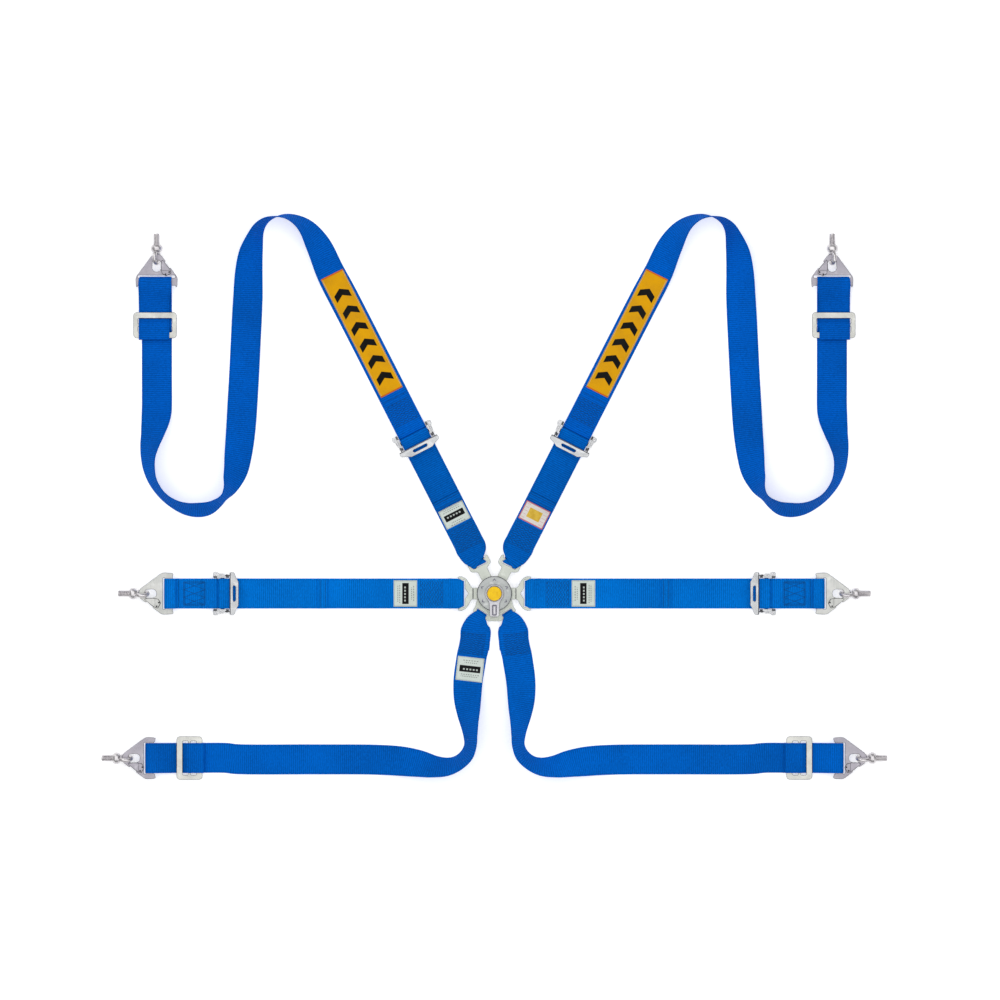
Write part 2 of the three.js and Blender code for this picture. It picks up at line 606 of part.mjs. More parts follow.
for (const [belt, end] of Object.entries(ENDS)) {
  for (const [side, [x, y], angle] of bothSides(end.point, end.angle)) {
    const group = station(x, y, angle);
    const hand = side === 'left' ? end.hand : -end.hand;
    place(`${belt}_hook_${side}`, handed(hookPlate(HOOKS[belt]), hand), end.finish, group);
    place(`${belt}_gate_${side}`, handed(gate(), hand), end.finish, group);
    place(`${belt}_eyebolt_${side}`, eyebolt(), 'zinc', group);
  }
}
for (const belt of ['shoulder', 'crotch']) {
  for (const [side, [x, y], angle] of bothSides(ENDS[belt].point, ENDS[belt].angle)) {
    const shift = HOOKS[belt].slideShift * (side === 'left' ? 1 : -1);
    const slide = threeBarSlide().translate(HOOKS[belt].slide, shift, 0);
    place(`${belt}_slide_${side}`, slide, 'zinc', station(x, y, angle));
  }
}

// Adjusters. The angle is the way outwards along the belt from the grip bar.
const shoulderWay = new THREE.Vector2(-Math.sin(rad(SHOULDER_ANGLE)), Math.cos(rad(SHOULDER_ANGLE)));
const lapWay = new THREE.Vector2(-1, 0);
const ADJUSTERS = {
  shoulder: {
    point: [shoulderWay.x * ADJUSTER_SHOULDER, shoulderWay.y * ADJUSTER_SHOULDER],
    angle: 90 + SHOULDER_ANGLE,
  },
  lap: { point: [-ADJUSTER_LAP, 0], angle: 180 },
};
for (const [belt, { point, angle }] of Object.entries(ADJUSTERS)) {
  for (const [side, [x, y], turned] of bothSides(point, angle)) {
    const group = station(x, y, turned);
    place(`${belt}_adjuster_frame_${side}`, adjusterFrame(), 'bright', group);
    place(`${belt}_grip_bar_${side}`, gripBar(), 'steel', group);
    place(`${belt}_adjuster_lever_${side}`, adjusterLever(), 'bright', group);
  }
}

for (const [name, angle] of Object.entries(TONGUE_ANGLES)) {
  const [belt, side] = name.split('_');
  const tongueSolid = belt === 'lap' ? lapTongue() : shoulderTongue();
  place(`${belt}_tongue_${side}`, tongueSolid, 'satin', station(0, 0, angle));
}

// Webbing of the left side. The right side is its mirror image.
const centre = new THREE.Vector2(0, 0);
const flip = (rows, offset) => rows.map(([s, z, h]) => [offset + s, z, h]);

// Lower shoulder belt: tongue loop, open run, grip bar and tail.
const lowerShoulder = strip(layAlong(centre, shoulderWay, [
  ...tongueLoop(51.5, 61, 11.9, WEB_W / 2, 74), ...flip(gripWrap(127), ADJUSTER_SHOULDER),
]));
// Lap belt: the same between its tongue and its adjuster.
const lapBelt = strip(layAlong(centre, lapWay, [
  ...tongueLoop(49.2, 59, 21.6, WEB_W / 2, 74), ...flip(gripWrap(160), ADJUSTER_LAP),
]));
// Short sewn loop between the lap adjuster and the lap hook.
const hookFlat = EYE_Z + LOOP_MID;
const lapLoopRows = [
  ...flip(rearLoop(), ADJUSTER_LAP),
  ...hookLoop(HOOKS.lap).map(([s, z]) => [-LAP_END[0] - s, z]),
];
lapLoopRows.splice(14, 0, [ADJUSTER_LAP + 60, FLOOR], [ADJUSTER_LAP + 76, 3.4]);
lapLoopRows.push([ADJUSTER_LAP + 76, hookFlat - 11.5], [ADJUSTER_LAP + 60, SECOND + 0.4]);
const lapLoop = strip(layAlong(centre, lapWay, lapLoopRows), true);
// Upper shoulder belt: sewn loop on the adjuster, free run, slide, hook and return.
const sewnLoop = [[85, FLOOR], ...rearLoop().reverse(), [84, SECOND], [96, FLOOR + 0.4]];
const upperRows = flip(sewnLoop, ADJUSTER_SHOULDER);
const shoulderEnd = new THREE.Vector2(SHOULDER_END[0], SHOULDER_END[1]);
const upperShoulder = strip([
  ...layAlong(centre, shoulderWay, upperRows.slice(0, -1)),
  ...layFree(SHOULDER_ROUTE.slice(2)),
  ...layAlong(shoulderEnd, new THREE.Vector2(0, -1), slideEnd(HOOKS.shoulder)),
]);

// Crotch belt: loop on the back plate's bar, free run, slide, hook and return.
function crotchBelt() {
  const r = CROTCH_LOOP_MID;
  const narrow = 9.4;
  const d = CROTCH_BAR_D;
  const z = CROTCH_BAR_Z;
  const loop = layAlong(centre, SLOT_NORMAL, [
    [d + 4, z - r + 0.1, narrow], ...turn(d, z, r, 270, 90, 8, narrow), [d + 4, z + r - 0.1, 15],
  ]);
  const under = [
    [-33.5, -93, FLOOR, 25, 0], [-32, -76, FLOOR, 24.6, 0], [-30, -64, FLOOR + 0.1, 19.6, 12],
    [-28, -55, FLOOR + 0.3, 13, 24],
  ];
  const over = [
    [-29.5, -49, 8.2, 21, 12], [-31, -61, 5.4, 25, 3], [-32, -76, SECOND + 0.4, 25, 0],
    [-35, -93, SECOND, 25, 0],
    [-37.5, -103, SECOND - 0.9, 25, 0],
  ];
  const free = ([x, y, height, h, lean]) => {
    const a = rad(180 + lean * 0.35);
    return { p: new THREE.Vector3(x, y, height), w: new THREE.Vector3(-Math.cos(a), -Math.sin(a), 0), h };
  };
  const run = layFree(CROTCH_ROUTE.slice(2));
  const end = layAlong(new THREE.Vector2(...CROTCH_END), new THREE.Vector2(1, 0), slideEnd(HOOKS.crotch));
  const stations = [
    ...under.map(free), ...loop, ...over.map(free), ...run, ...end,
  ];
  return alignAcross(stations);
}

// Turns each station's across vector the same way as the one before it.
function alignAcross(stations) {
  for (let i = 1; i < stations.length; i += 1) {
    if (stations[i].w.dot(stations[i - 1].w) < 0) stations[i].w.negate();
  }
  return stations;
}

const belts = {
  shoulder_belt_lower: lowerShoulder,
  shoulder_belt_upper: upperShoulder,
  lap_belt: lapBelt,
  lap_anchor_loop: lapLoop,
  crotch_belt: strip(crotchBelt()),
};
for (const [name, geometry] of Object.entries(belts)) {
  place(`${name}_left`, geometry, 'webbing');
  place(`${name}_right`, mirrored(geometry), 'webbing');
}

export default harness;
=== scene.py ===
import math
from collections import namedtuple

import bmesh
import bpy
import numpy as np
from mathutils import Matrix, Vector
from mathutils.bvhtree import BVHTree


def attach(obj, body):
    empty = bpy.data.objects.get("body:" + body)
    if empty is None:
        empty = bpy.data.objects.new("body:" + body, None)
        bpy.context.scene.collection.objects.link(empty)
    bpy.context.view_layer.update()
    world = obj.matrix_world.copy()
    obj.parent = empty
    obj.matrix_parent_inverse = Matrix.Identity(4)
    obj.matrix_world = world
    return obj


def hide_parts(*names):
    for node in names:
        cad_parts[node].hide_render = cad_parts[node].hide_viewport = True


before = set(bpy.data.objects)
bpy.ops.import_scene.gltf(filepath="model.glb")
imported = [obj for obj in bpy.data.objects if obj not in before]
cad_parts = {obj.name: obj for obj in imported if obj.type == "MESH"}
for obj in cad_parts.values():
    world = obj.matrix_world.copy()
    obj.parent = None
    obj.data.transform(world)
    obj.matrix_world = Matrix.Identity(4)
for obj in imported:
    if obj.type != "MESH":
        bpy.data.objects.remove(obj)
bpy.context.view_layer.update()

# Lengths are millimetres until a piece is made, in the part's own frame: the origin under the buckle's
# centre, +Y towards the shoulders and +Z up. Every left-hand piece is built and the right one mirrors it.
MM = 0.001

# ---- camera and light ----------------------------------------------------------------------------------
VIEW_WIDTH = 1.6667  # width of what the camera sees at the floor, in metres
CAMERA_HEIGHT = 14.0
CAMERA_X, CAMERA_Y = 0.0093, 0.1558
SENSOR = 36.0

camera_data = bpy.data.cameras.new("camera")
camera_data.sensor_width = SENSOR
camera_data.lens = SENSOR * CAMERA_HEIGHT / VIEW_WIDTH
camera_data.clip_end = 60.0
camera = bpy.data.objects.new("camera", camera_data)
camera.location = (CAMERA_X, CAMERA_Y, CAMERA_HEIGHT)
bpy.context.collection.objects.link(camera)
bpy.context.scene.camera = camera
bpy.context.scene.view_settings.view_transform = "Standard"


def area_light(name, location, size, power):
    data = bpy.data.lights.new(name, "AREA")
    data.shape = "SQUARE"
    data.size = size
    data.energy = power
    light = bpy.data.objects.new(name, data)
    light.location = location
    light.rotation_euler = (Vector((0, 0.1, 0)) - Vector(location)).to_track_quat("-Z", "Y").to_euler()
    bpy.context.collection.objects.link(light)


area_light("ceiling_light", (0.0, 0.15, 4.6), 8.0, 245)
area_light("key_light", (-2.6, 3.0, 2.2), 1.4, 30)
area_light("rim_light", (3.0, -2.0, 1.8), 1.4, 14)

world = bpy.data.worlds.new("studio")
world.use_nodes = True
world.node_tree.nodes["Background"].inputs["Color"].default_value = (1.0, 1.0, 1.0, 1)
world.node_tree.nodes["Background"].inputs["Strength"].default_value = 0.24
bpy.context.scene.world = world


# ---- materials -----------------------------------------------------------------------------------------
def srgb(code):
    """Linear colour from a six-digit hex code."""
    values = [int(code[i:i + 2], 16) / 255 for i in (0, 2, 4)]
    return tuple(((v + 0.055) / 1.055) ** 2.4 if v > 0.04045 else v / 12.92 for v in values) + (1.0,)


class Nodes:
    """A material under construction, with short calls for the nodes it uses."""

    def __init__(self, name, roughness=0.5, metallic=0.0, **sockets):
        self.material = bpy.data.materials.new(name)
        self.material.use_nodes = True
        self.tree = self.material.node_tree
        self.shader = self.tree.nodes["Principled BSDF"]
        self.shader.inputs["Roughness"].default_value = roughness
        self.shader.inputs["Metallic"].default_value = metallic
        for socket, value in sockets.items():
            self.shader.inputs[socket.replace("_", " ")].default_value = value

    def link(self, value, socket):
        if isinstance(value, bpy.types.NodeSocket):
            self.tree.links.new(value, socket)
        else:
            socket.default_value = value

    def math(self, operation, a, b=0.0, clamp=False):
        node = self.tree.nodes.new("ShaderNodeMath")
        node.operation = operation
        node.use_clamp = clamp
        self.link(a, node.inputs[0])
        self.link(b, node.inputs[1])
        return node.outputs[0]

    def plus(self, a, b, clamp=False):
        return self.math("ADD", a, b, clamp)

    def minus(self, a, b, clamp=False):
        return self.math("SUBTRACT", a, b, clamp)

    def times(self, a, b):
        return self.math("MULTIPLY", a, b)

    def modulo(self, a, b):
        return self.math("MODULO", a, b)

    def absolute(self, a):
        return self.math("ABSOLUTE", a)

    def sine(self, a):
        return self.math("SINE", a)

    def ridges(self, value, pitch):
        """Rounded ridges, one for each pitch."""
        return self.absolute(self.sine(self.times(value, math.pi / pitch)))

    def position(self, scale=(1, 1, 1), turn=0.0):
        coordinates = self.tree.nodes.new("ShaderNodeTexCoord")
        mapping = self.tree.nodes.new("ShaderNodeMapping")
        mapping.inputs["Scale"].default_value = scale
        mapping.inputs["Rotation"].default_value = (0, 0, turn)
        self.tree.links.new(coordinates.outputs["Object"], mapping.inputs["Vector"])
        return mapping.outputs["Vector"]

    def noise(self, scale, detail=3.0, vector=None, roughness=0.55):
        node = self.tree.nodes.new("ShaderNodeTexNoise")
        node.inputs["Scale"].default_value = scale
        node.inputs["Detail"].default_value = detail
        node.inputs["Roughness"].default_value = roughness
        self.tree.links.new(vector or self.position(), node.inputs["Vector"])
        return node.outputs["Fac"]

    def surface(self):
        """Millimetres along and across a strap or label, from its own layout."""
        layout = self.tree.nodes.new("ShaderNodeUVMap")
        layout.uv_map = "layout"
        parts = self.tree.nodes.new("ShaderNodeSeparateXYZ")
        self.tree.links.new(layout.outputs["UV"], parts.inputs["Vector"])
        return (self.times(parts.outputs["X"], 1000.0),
                self.times(parts.outputs["Y"], 1000.0))

    def ramp(self, value, low, high, start=0.0, end=1.0):
        node = self.tree.nodes.new("ShaderNodeMapRange")
        node.interpolation_type = "SMOOTHSTEP"
        self.link(value, node.inputs["Value"])
        node.inputs["From Min"].default_value = low
        node.inputs["From Max"].default_value = high
        node.inputs["To Min"].default_value = start
        node.inputs["To Max"].default_value = end
        return node.outputs["Result"]

    def mix(self, factor, a, b):
        node = self.tree.nodes.new("ShaderNodeMix")
        node.data_type = "RGBA"
        self.link(factor, node.inputs[0])
        self.link(a, node.inputs[6])
        self.link(b, node.inputs[7])
        return node.outputs[2]

    def inside(self, value, low, high, soft=0.15):
        """1 between low and high, and 0 outside."""
        return self.times(self.ramp(value, low - soft, low + soft),
                         self.ramp(value, high - soft, high + soft, 1.0, 0.0))

    def box(self, x, y, x0, x1, y0, y1, soft=0.15):
        return self.times(self.inside(x, x0, x1, soft), self.inside(y, y0, y1, soft))

    def finish(self, colour, roughness=None, height=None, depth=0.0002, strength=0.6):
        self.link(colour, self.shader.inputs["Base Color"])
        if roughness is not None:
            self.link(roughness, self.shader.inputs["Roughness"])
        if height is not None:
            bump = self.tree.nodes.new("ShaderNodeBump")
            bump.inputs["Distance"].default_value = depth
            bump.inputs["Strength"].default_value = strength
            self.link(height, bump.inputs["Height"])
            self.tree.links.new(bump.outputs["Normal"], self.shader.inputs["Normal"])
        return self.material


RIB_PITCH = 3.4  # millimetres between the webbing's cross ribs


def webbing_material(name, body, deep):
    """Woven polyester strap: cross ribs carried on lengthwise cords, with a denser selvedge; painted shade
    darkens the groove inside the selvedge cord, and the colour darkens towards the outer edge.
    """
    n = Nodes(name, 0.85, Sheen_Weight=0.05, Sheen_Roughness=0.4, Specular_IOR_Level=0.03)
    n.shader.inputs["Sheen Tint"].default_value = srgb("0A70FF")
    u, v = n.surface()
    layout = n.tree.nodes.new("ShaderNodeUVMap")
    layout.uv_map = "layout"
    stretch = n.tree.nodes.new("ShaderNodeMapping")
    stretch.inputs["Scale"].default_value = (1.0, 0.28, 1.0)
    n.tree.links.new(layout.outputs["UV"], stretch.inputs["Vector"])
    slub = n.noise(620.0, 2.0, stretch.outputs["Vector"])
    wander = n.times(n.minus(n.noise(90.0, 2.0), 0.5), 1.8)
    rib = n.ridges(n.plus(u, wander), RIB_PITCH)
    column = n.ridges(v, 2.3)
    yarn = n.ridges(v, 0.6)
    weave = n.plus(n.times(rib, 0.68), n.times(column, 0.2))
    weave = n.plus(weave, n.times(yarn, 0.12))
    wide = n.noise(9.0, 3.0)
    fine = n.noise(600.0, 2.0)
    shade = n.plus(n.times(weave, 0.42), n.times(n.minus(wide, 0.5), 0.45))
    shade = n.plus(shade, n.times(n.minus(fine, 0.5), 0.5))
    shade = n.plus(shade, n.times(n.minus(slub, 0.5), 0.45))
    colour = n.mix(n.ramp(n.plus(shade, 0.04), 0.02, 0.62), srgb(deep), srgb(body))
    away = n.absolute(v)
    # Painted shade in the groove between the body and the selvedge cord.
    colour = n.mix(n.times(n.inside(away, 21.9, 22.9, 0.25), 0.6), colour, srgb(deep))
    # Darker towards the outer edge.
    colour = n.mix(n.times(n.ramp(away, 24.0, 25.0), 0.5), colour, srgb(deep))
    roughness = n.ramp(wide, 0.3, 0.7, 0.78, 0.92)
    height = n.plus(weave, n.times(fine, 0.25))
    return n.finish(colour, roughness, height, 0.0004, 0.8)


def metal_material(name, body, dark, light, roughness, grain=(1, 1, 1), metallic=0.85, bump=0.00004,
                   spots=0.0):
    """Plated steel or zinc: faint grain, cloudy plating and rubbed bright patches."""
    n = Nodes(name, roughness, metallic)
    cloud = n.noise(55.0, 4.0)
    fine = n.noise(700.0, 3.0, n.position(grain))
    specks = n.noise(260.0, 5.0, None, 0.7)
    rubbed = n.noise(95.0, 3.0, n.position((1, 1, 0.5)))
    mixed = n.plus(n.times(cloud, 0.65), n.times(fine, 0.35))
    colour = n.mix(n.ramp(mixed, 0.3, 0.7), srgb(dark), srgb(body))
    colour = n.mix(n.times(n.ramp(specks, 0.62, 0.72), spots), colour, srgb(dark))
    colour = n.mix(n.times(n.ramp(rubbed, 0.56, 0.74), 0.4), colour, srgb(light))
    rough = n.plus(n.ramp(fine, 0.25, 0.75, roughness - 0.07, roughness + 0.09),
                   n.ramp(cloud, 0.3, 0.7, -0.03, 0.05))
    return n.finish(colour, rough, fine, bump, 0.5)


def thread_material(name, body, dark):
    n = Nodes(name, 0.75, Specular_IOR_Level=0.2)
    twist = n.noise(1500.0, 2.0, n.position((1, 1, 1), 0.6))
    return n.finish(n.mix(twist, srgb(dark), srgb(body)), n.ramp(twist, 0.2, 0.8, 0.55, 0.85), twist,
                    0.00015, 0.6)


def label_material(name, paint, ground, shadow, weave_pitch=0.9):
    """Woven label: fine satin weave, with its printing laid out by paint(nodes, x, y, colour)."""
    n = Nodes(name, 0.7, Specular_IOR_Level=0.12)
    x, y = n.surface()
    ribs = n.ridges(x, weave_pitch)
    yarns = n.ridges(y, 0.6)
    cloud = n.noise(40.0, 4.0)
    weave = n.plus(n.times(ribs, 0.5), n.times(yarns, 0.5))
    shade = n.plus(n.times(weave, 0.45), n.times(cloud, 0.55))
    colour = n.mix(n.ramp(shade, 0.2, 0.72), srgb(shadow), srgb(ground))
    return n.finish(paint(n, x, y, colour), n.ramp(cloud, 0.3, 0.7, 0.5, 0.72), weave, 0.0002, 0.5)


def plain_print(n, x, y, colour):
    """A generic care label: one solid bar, with plain dashes standing for lines of small print."""
    def dashes(row, half, size, rate, share):
        marks = n.ramp(n.sine(n.plus(n.times(y, rate), row)), share - 0.2, share + 0.2)
        return n.times(n.box(x, y, row - size, row + size, -half, half), marks)
    lines = n.plus(dashes(12.6, 14.0, 0.7, 2.1, -0.2), dashes(9.4, 16.0, 0.7, 1.6, -0.3))
    lines = n.plus(lines, n.plus(dashes(-10.4, 10.0, 0.7, 1.9, -0.2), dashes(-14.0, 13.0, 0.7, 1.4, -0.3)))
    ink = n.box(x, y, -5.6, 5.2, -17.5, 17.5, 0.25)
    gaps = n.times(dashes(0.6, 13.5, 1.3, 1.15, -0.1), 0.75)
    ink = n.minus(ink, gaps, True)
    ink = n.plus(ink, n.times(lines, 0.62), True)
    return n.mix(ink, colour, srgb("0A0C0E"))


def gold_print(n, x, y, colour):
    """A generic approval label: red frame with a plain gold panel."""
    frame_line = n.minus(1.0, n.box(x, y, -14.6, 14.6, -20.6, 20.6))
    colour = n.mix(n.times(frame_line, 0.9), colour, srgb("E0566B"))
    grid = n.times(n.inside(n.modulo(n.plus(x, 60.0), 6.0), 0.0, 0.7),
                  n.inside(n.absolute(y), 13.0, 19.5))
    colour = n.mix(n.times(grid, 0.7), colour, srgb("C9707E"))
    shine = n.mix(n.noise(130.0, 2.0), srgb("B88A12"), srgb("F2D25A"))
    return n.mix(n.box(x, y, -8.5, 8.5, -11.5, 11.5), colour, shine)


def chevron_print(n, x, y, colour):
    """Six plain chevrons down the label, pale side borders and orange ends."""
    away = n.absolute(y)
    pitch = 31.0
    place = n.plus(x, n.times(away, 0.62))
    step = n.modulo(n.plus(place, pitch * 20), pitch)
    ink = n.times(n.inside(step, 9.5, 21.5, 0.2), n.ramp(away, 13.3, 13.8, 1.0, 0.0))
    ink = n.times(ink, n.inside(place, -93.0, 93.0, 0.2))
    colour = n.mix(ink, colour, srgb("0C0B09"))
    colour = n.mix(n.times(n.inside(away, 18.4, 19.2), 0.8), colour, srgb("F6EFC0"))
    return n.mix(n.times(n.ramp(n.absolute(x), 107.6, 108.2), 0.85), colour, srgb("E0641E"))


LAP_WEBBING = webbing_material("lap_webbing", "0081EC", "005BAE")
LOWER_WEBBING = webbing_material("lower_shoulder_webbing", "006CD7", "004B97")
UPPER_WEBBING = webbing_material("upper_shoulder_webbing", "0068DC", "004A9C")
CROTCH_WEBBING = webbing_material("crotch_webbing", "006DDC", "004D9E")
SATIN = metal_material("satin_plate", "C9C9C6", "A9ABA8", "DEE0DD", 0.34, (1, 0.15, 1))
TONGUE = metal_material("tongue_steel", "C3C7BE", "AFB4AC", "DDE1DA", 0.38, (1, 0.15, 1))
ALLOY = metal_material("buckle_alloy", "B4B7B6", "989C9B", "D6D8D8", 0.36, (0.2, 1, 1))
LEVER = metal_material("lever_alloy", "C9C8CC", "ADACB2", "DEDEE0", 0.34, (1, 0.2, 1))
ZINC = metal_material("zinc_plate", "A9A5AD", "94919A", "D2CFD6", 0.33, (1, 1, 0.2), spots=0.3)
SLIDE = metal_material("slide_zinc", "CFCFC9", "B0B0AC", "E2E2DE", 0.33, (1, 1, 0.2), spots=0.2)
BOLT = metal_material("eyebolt_zinc", "E2DFE0", "BAB6BA", "F2F0F1", 0.3, spots=0.4)
NICKEL = metal_material("bright_nickel", "CDCED0", "A5A7A9", "EDEEEF", 0.2, (1, 0.3, 1))
STEEL = metal_material("inner_steel", "8F949A", "686C72", "C5C9CE", 0.34)
# Painted shade for the bottoms of recesses.
RECESS_SHADE = metal_material("recess_shade", "807C90", "5C596A", "9A96A8", 0.5, metallic=0.3)
# Painted shade: a darker metal for the sloping sides and bevels of the metal pieces, standing for the shade
# along their edges.
EDGE_SHADE = metal_material("painted_edge_shade", "77777A", "5A5A5E", "9A9A9C", 0.42, metallic=0.7)
# Painted shadow: a dark metal for the rim under the gate's leaf and heel, and for the rivet heads.
RIM_SHADOW_AND_RIVETS = metal_material("rim_shadow_and_rivet_dark", "34353A", "222327", "55565C", 0.5, metallic=0.4)
THREAD = thread_material("navy_thread", "0A5A9C", "00366A")
PALE_THREAD = thread_material("pale_thread", "CDD6CF", "9FA9A2")
GOLD_THREAD = thread_material("gold_thread", "D9A514", "946A05")
WHITE_LABEL = label_material("white_label", plain_print, "DDE6E0", "B9C7BF")
GOLD_LABEL = label_material("approval_label", gold_print, "E6E2DD", "C6C2BD")
YELLOW_LABEL = label_material("yellow_label", chevron_print, "E9A900", "C28700", 1.3)


def cap_material():
    """Moulded yellow disc under clear lacquer."""
    n = Nodes("yellow_cap", 0.4, Coat_Weight=0.1, Coat_Roughness=0.2, Specular_IOR_Level=0.2)
    cloud = n.noise(160.0, 3.0)
    return n.finish(n.mix(n.ramp(cloud, 0.3, 0.7), srgb("F0BE00"), srgb("FFD200")),
                    n.ramp(cloud, 0.3, 0.7, 0.26, 0.38), cloud, 0.00003, 0.4)


CAP = cap_material()


def floor_material():
    """Pale sweep, lit a little from below as a light table is."""
    n = Nodes("pale_floor", 0.85, Specular_IOR_Level=0.1, Emission_Strength=0.42)
    n.shader.inputs["Emission Color"].default_value = (1, 1, 1, 1)
    return n.finish(n.mix(n.noise(3.0, 2.0), srgb("F4F5F6"), srgb("F8F8F9")))


# ---- shapes --------------------------------------------------------------------------------------------
class Shape:
    """Points and faces in millimetres."""

    def __init__(self, points=(), faces=()):
        self.points = [Vector(p) for p in points]
        self.faces = [tuple(f) for f in faces]

    def __add__(self, other):
        base = len(self.points)
        return Shape(self.points + other.points,
                     self.faces + [tuple(i + base for i in f) for f in other.faces])

    def moved(self, x=0.0, y=0.0, z=0.0):
        return self.by(Matrix.Translation((x, y, z)))

    def turned(self, degrees, axis="Z"):
        return self.by(Matrix.Rotation(math.radians(degrees), 4, axis))

    def by(self, matrix):
        flip = matrix.determinant() < 0
        return Shape([matrix @ p for p in self.points], [f[::-1] if flip else f for f in self.faces])

    def across(self):
        """The mirror image with y negated."""
        return self.by(Matrix.Diagonal((1, -1, 1, 1)))


def joined(shapes):
    total = Shape()
    for shape in shapes:
        total = total + shape
    return total


def from_mesh(mesh):
    shape = Shape([v.co for v in mesh.vertices], [p.vertices for p in mesh.polygons])
    bpy.data.meshes.remove(mesh)
    return shape


def rounded(outline, radius, steps=5):
    """The outline with each corner replaced by an arc; a radius per corner may be given."""
    n = len(outline)
    radii = [radius] * n if not hasattr(radius, "__len__") else radius
    result = []
    for i in range(n):
        corner = Vector(outline[i])
        before = Vector(outline[i - 1]) - corner
        after = Vector(outline[(i + 1) % n]) - corner
        a, b = before.normalized(), after.normalized()
        angle = a.angle(b)
        if angle > math.radians(178) or radii[i] <= 0:
            result.append(tuple(corner))
            continue
        reach = min(radii[i] / math.tan(angle / 2), before.length * 0.48, after.length * 0.48)
        size = reach * math.tan(angle / 2)
        centre = corner + (a + b).normalized() * (size / math.sin(angle / 2))
        start = corner + a * reach - centre
        sweep = start.angle_signed(corner + b * reach - centre)
        for k in range(steps + 1):
            turned = Matrix.Rotation(-sweep * k / steps, 2) @ start
            result.append(tuple(centre + turned))
    return result


def plate(outline, z0, z1, bevel=0.5, holes=(), resolution=2):
    """Plate between two heights with rounded rims, cut through by the holes."""
    curve = bpy.data.curves.new("outline", "CURVE")
    curve.dimensions = "2D"
    curve.fill_mode = "BOTH"
    for ring in [outline, *holes]:
        spline = curve.splines.new("POLY")
        spline.points.add(len(ring) - 1)
        spline.points.foreach_set("co", [c for x, y in ring for c in (x, y, 0.0, 1.0)])
        spline.use_cyclic_u = True
    curve.extrude = (z1 - z0) / 2 - bevel
    curve.bevel_depth = bevel
    curve.bevel_resolution = resolution
    curve.offset = -bevel
    holder = bpy.data.objects.new("outline", curve)
    mesh = bpy.data.meshes.new_from_object(holder)
    bpy.data.objects.remove(holder)
    bpy.data.curves.remove(curve)
    return from_mesh(mesh).moved(z=(z0 + z1) / 2)


def circle(radius, x=0.0, y=0.0, steps=48):
    return [(x + radius * math.cos(2 * math.pi * i / steps), y + radius * math.sin(2 * math.pi * i / steps))
            for i in range(steps)]


def box_outline(x0, x1, y0, y1):
    return [(x0, y0), (x1, y0), (x1, y1), (x0, y1)]


def lathe(profile, steps=64):
    """Solid turned about Z from (radius, z) points that begin and end on the axis or close on themselves."""
    points, faces = [], []
    ring_start = []
    for radius, z in profile:
        ring_start.append(len(points))
        if radius < 1e-6:
            points.append((0, 0, z))
        else:
            points += [(radius * math.cos(2 * math.pi * k / steps),
                        radius * math.sin(2 * math.pi * k / steps), z)
                       for k in range(steps)]
    open_profile = profile[0][0] < 1e-6
    count = len(profile)
    for i in range(count - 1 if open_profile else count):
        j = (i + 1) % count
        a, b = ring_start[i], ring_start[j]
        a_point, b_point = profile[i][0] < 1e-6, profile[j][0] < 1e-6
        for k in range(steps):
            m = (k + 1) % steps
            if a_point:
                faces.append((a, b + m, b + k))
            elif b_point:
                faces.append((a + k, a + m, b))
            else:
                faces.append((a + k, a + m, b + m, b + k))
    return Shape(points, faces)


def soft_profile(profile, radius=0.5, steps=3):
    """Turned profile with its corners rounded, ends left where they are."""
    if profile[0][0] > 1e-6:
        return rounded(profile, radius, steps)
    radii = [0] + [radius] * (len(profile) - 2) + [0]
    return rounded(profile, radii, steps)


def skin(count, sides):
    """Faces between neighbouring rings of points."""
    return [(i * sides + k, (i + 1) * sides + k, (i + 1) * sides + (k + 1) % sides,
             i * sides + (k + 1) % sides)
            for i in range(count) for k in range(sides)]


def torus(major, minor, around=72, section=24):
    points, faces = [], []
    for i in range(around):
        a = 2 * math.pi * i / around
        for k in range(section):
            b = 2 * math.pi * k / section
            r = major + minor * math.cos(b)
            points.append((r * math.cos(a), r * math.sin(a), minor * math.sin(b)))
    for i in range(around):
        for k in range(section):
            j, m = (i + 1) % around, (k + 1) % section
            faces.append((i * section + k, j * section + k, j * section + m, i * section + m))
    return Shape(points, faces)


def bar(p, q, radius, sides=16, rim=0.4):
    """Round bar from p to q with eased ends."""
    p, q = Vector(p), Vector(q)
    length = (q - p).length
    profile = soft_profile([(0, 0), (radius, 0), (radius, length), (0, length)], rim)
    return lathe(profile,
                 sides).by(Matrix.Translation(p) @ (q - p).to_track_quat("Z", "Y").to_matrix().to_4x4())


def cut(shape, *tools):
    """The shape with the tools' volumes taken out."""
    def holder(name, s):
        mesh = bpy.data.meshes.new(name)
        mesh.from_pydata([tuple(p) for p in s.points], [], s.faces)
        tidy(mesh, 0.001)
        thing = bpy.data.objects.new(name, mesh)
        bpy.context.collection.objects.link(thing)
        return thing
    base = holder("base", shape)
    others = [holder(f"tool_{i}", t) for i, t in enumerate(tools)]
    for other in others:
        modifier = base.modifiers.new("cut", "BOOLEAN")
        modifier.operation = "DIFFERENCE"
        modifier.solver = "EXACT"
        modifier.object = other
    graph = bpy.context.evaluated_depsgraph_get()
    result = bpy.data.meshes.new_from_object(base.evaluated_get(graph))
    for thing in [base, *others]:
        mesh = thing.data
        bpy.data.objects.remove(thing)
        bpy.data.meshes.remove(mesh)
    return from_mesh(result)


def tidy(mesh, merge, crease=None):
    work = bmesh.new()
    work.from_mesh(mesh)
    bmesh.ops.remove_doubles(work, verts=work.verts, dist=merge)
    loose = [v for v in work.verts if not v.link_faces]
    bmesh.ops.delete(work, geom=loose, context="VERTS")
    bmesh.ops.recalc_face_normals(work, faces=work.faces)
    if crease is not None:
        for face in work.faces:
            face.smooth = True
        for edge in work.edges:
            edge.smooth = len(edge.link_faces) == 2 and edge.calc_face_angle(0.0) < crease
    work.to_mesh(mesh)
    work.free()


EDGE_TILT = 0.93  # a face is an edge when its normal rises less than this


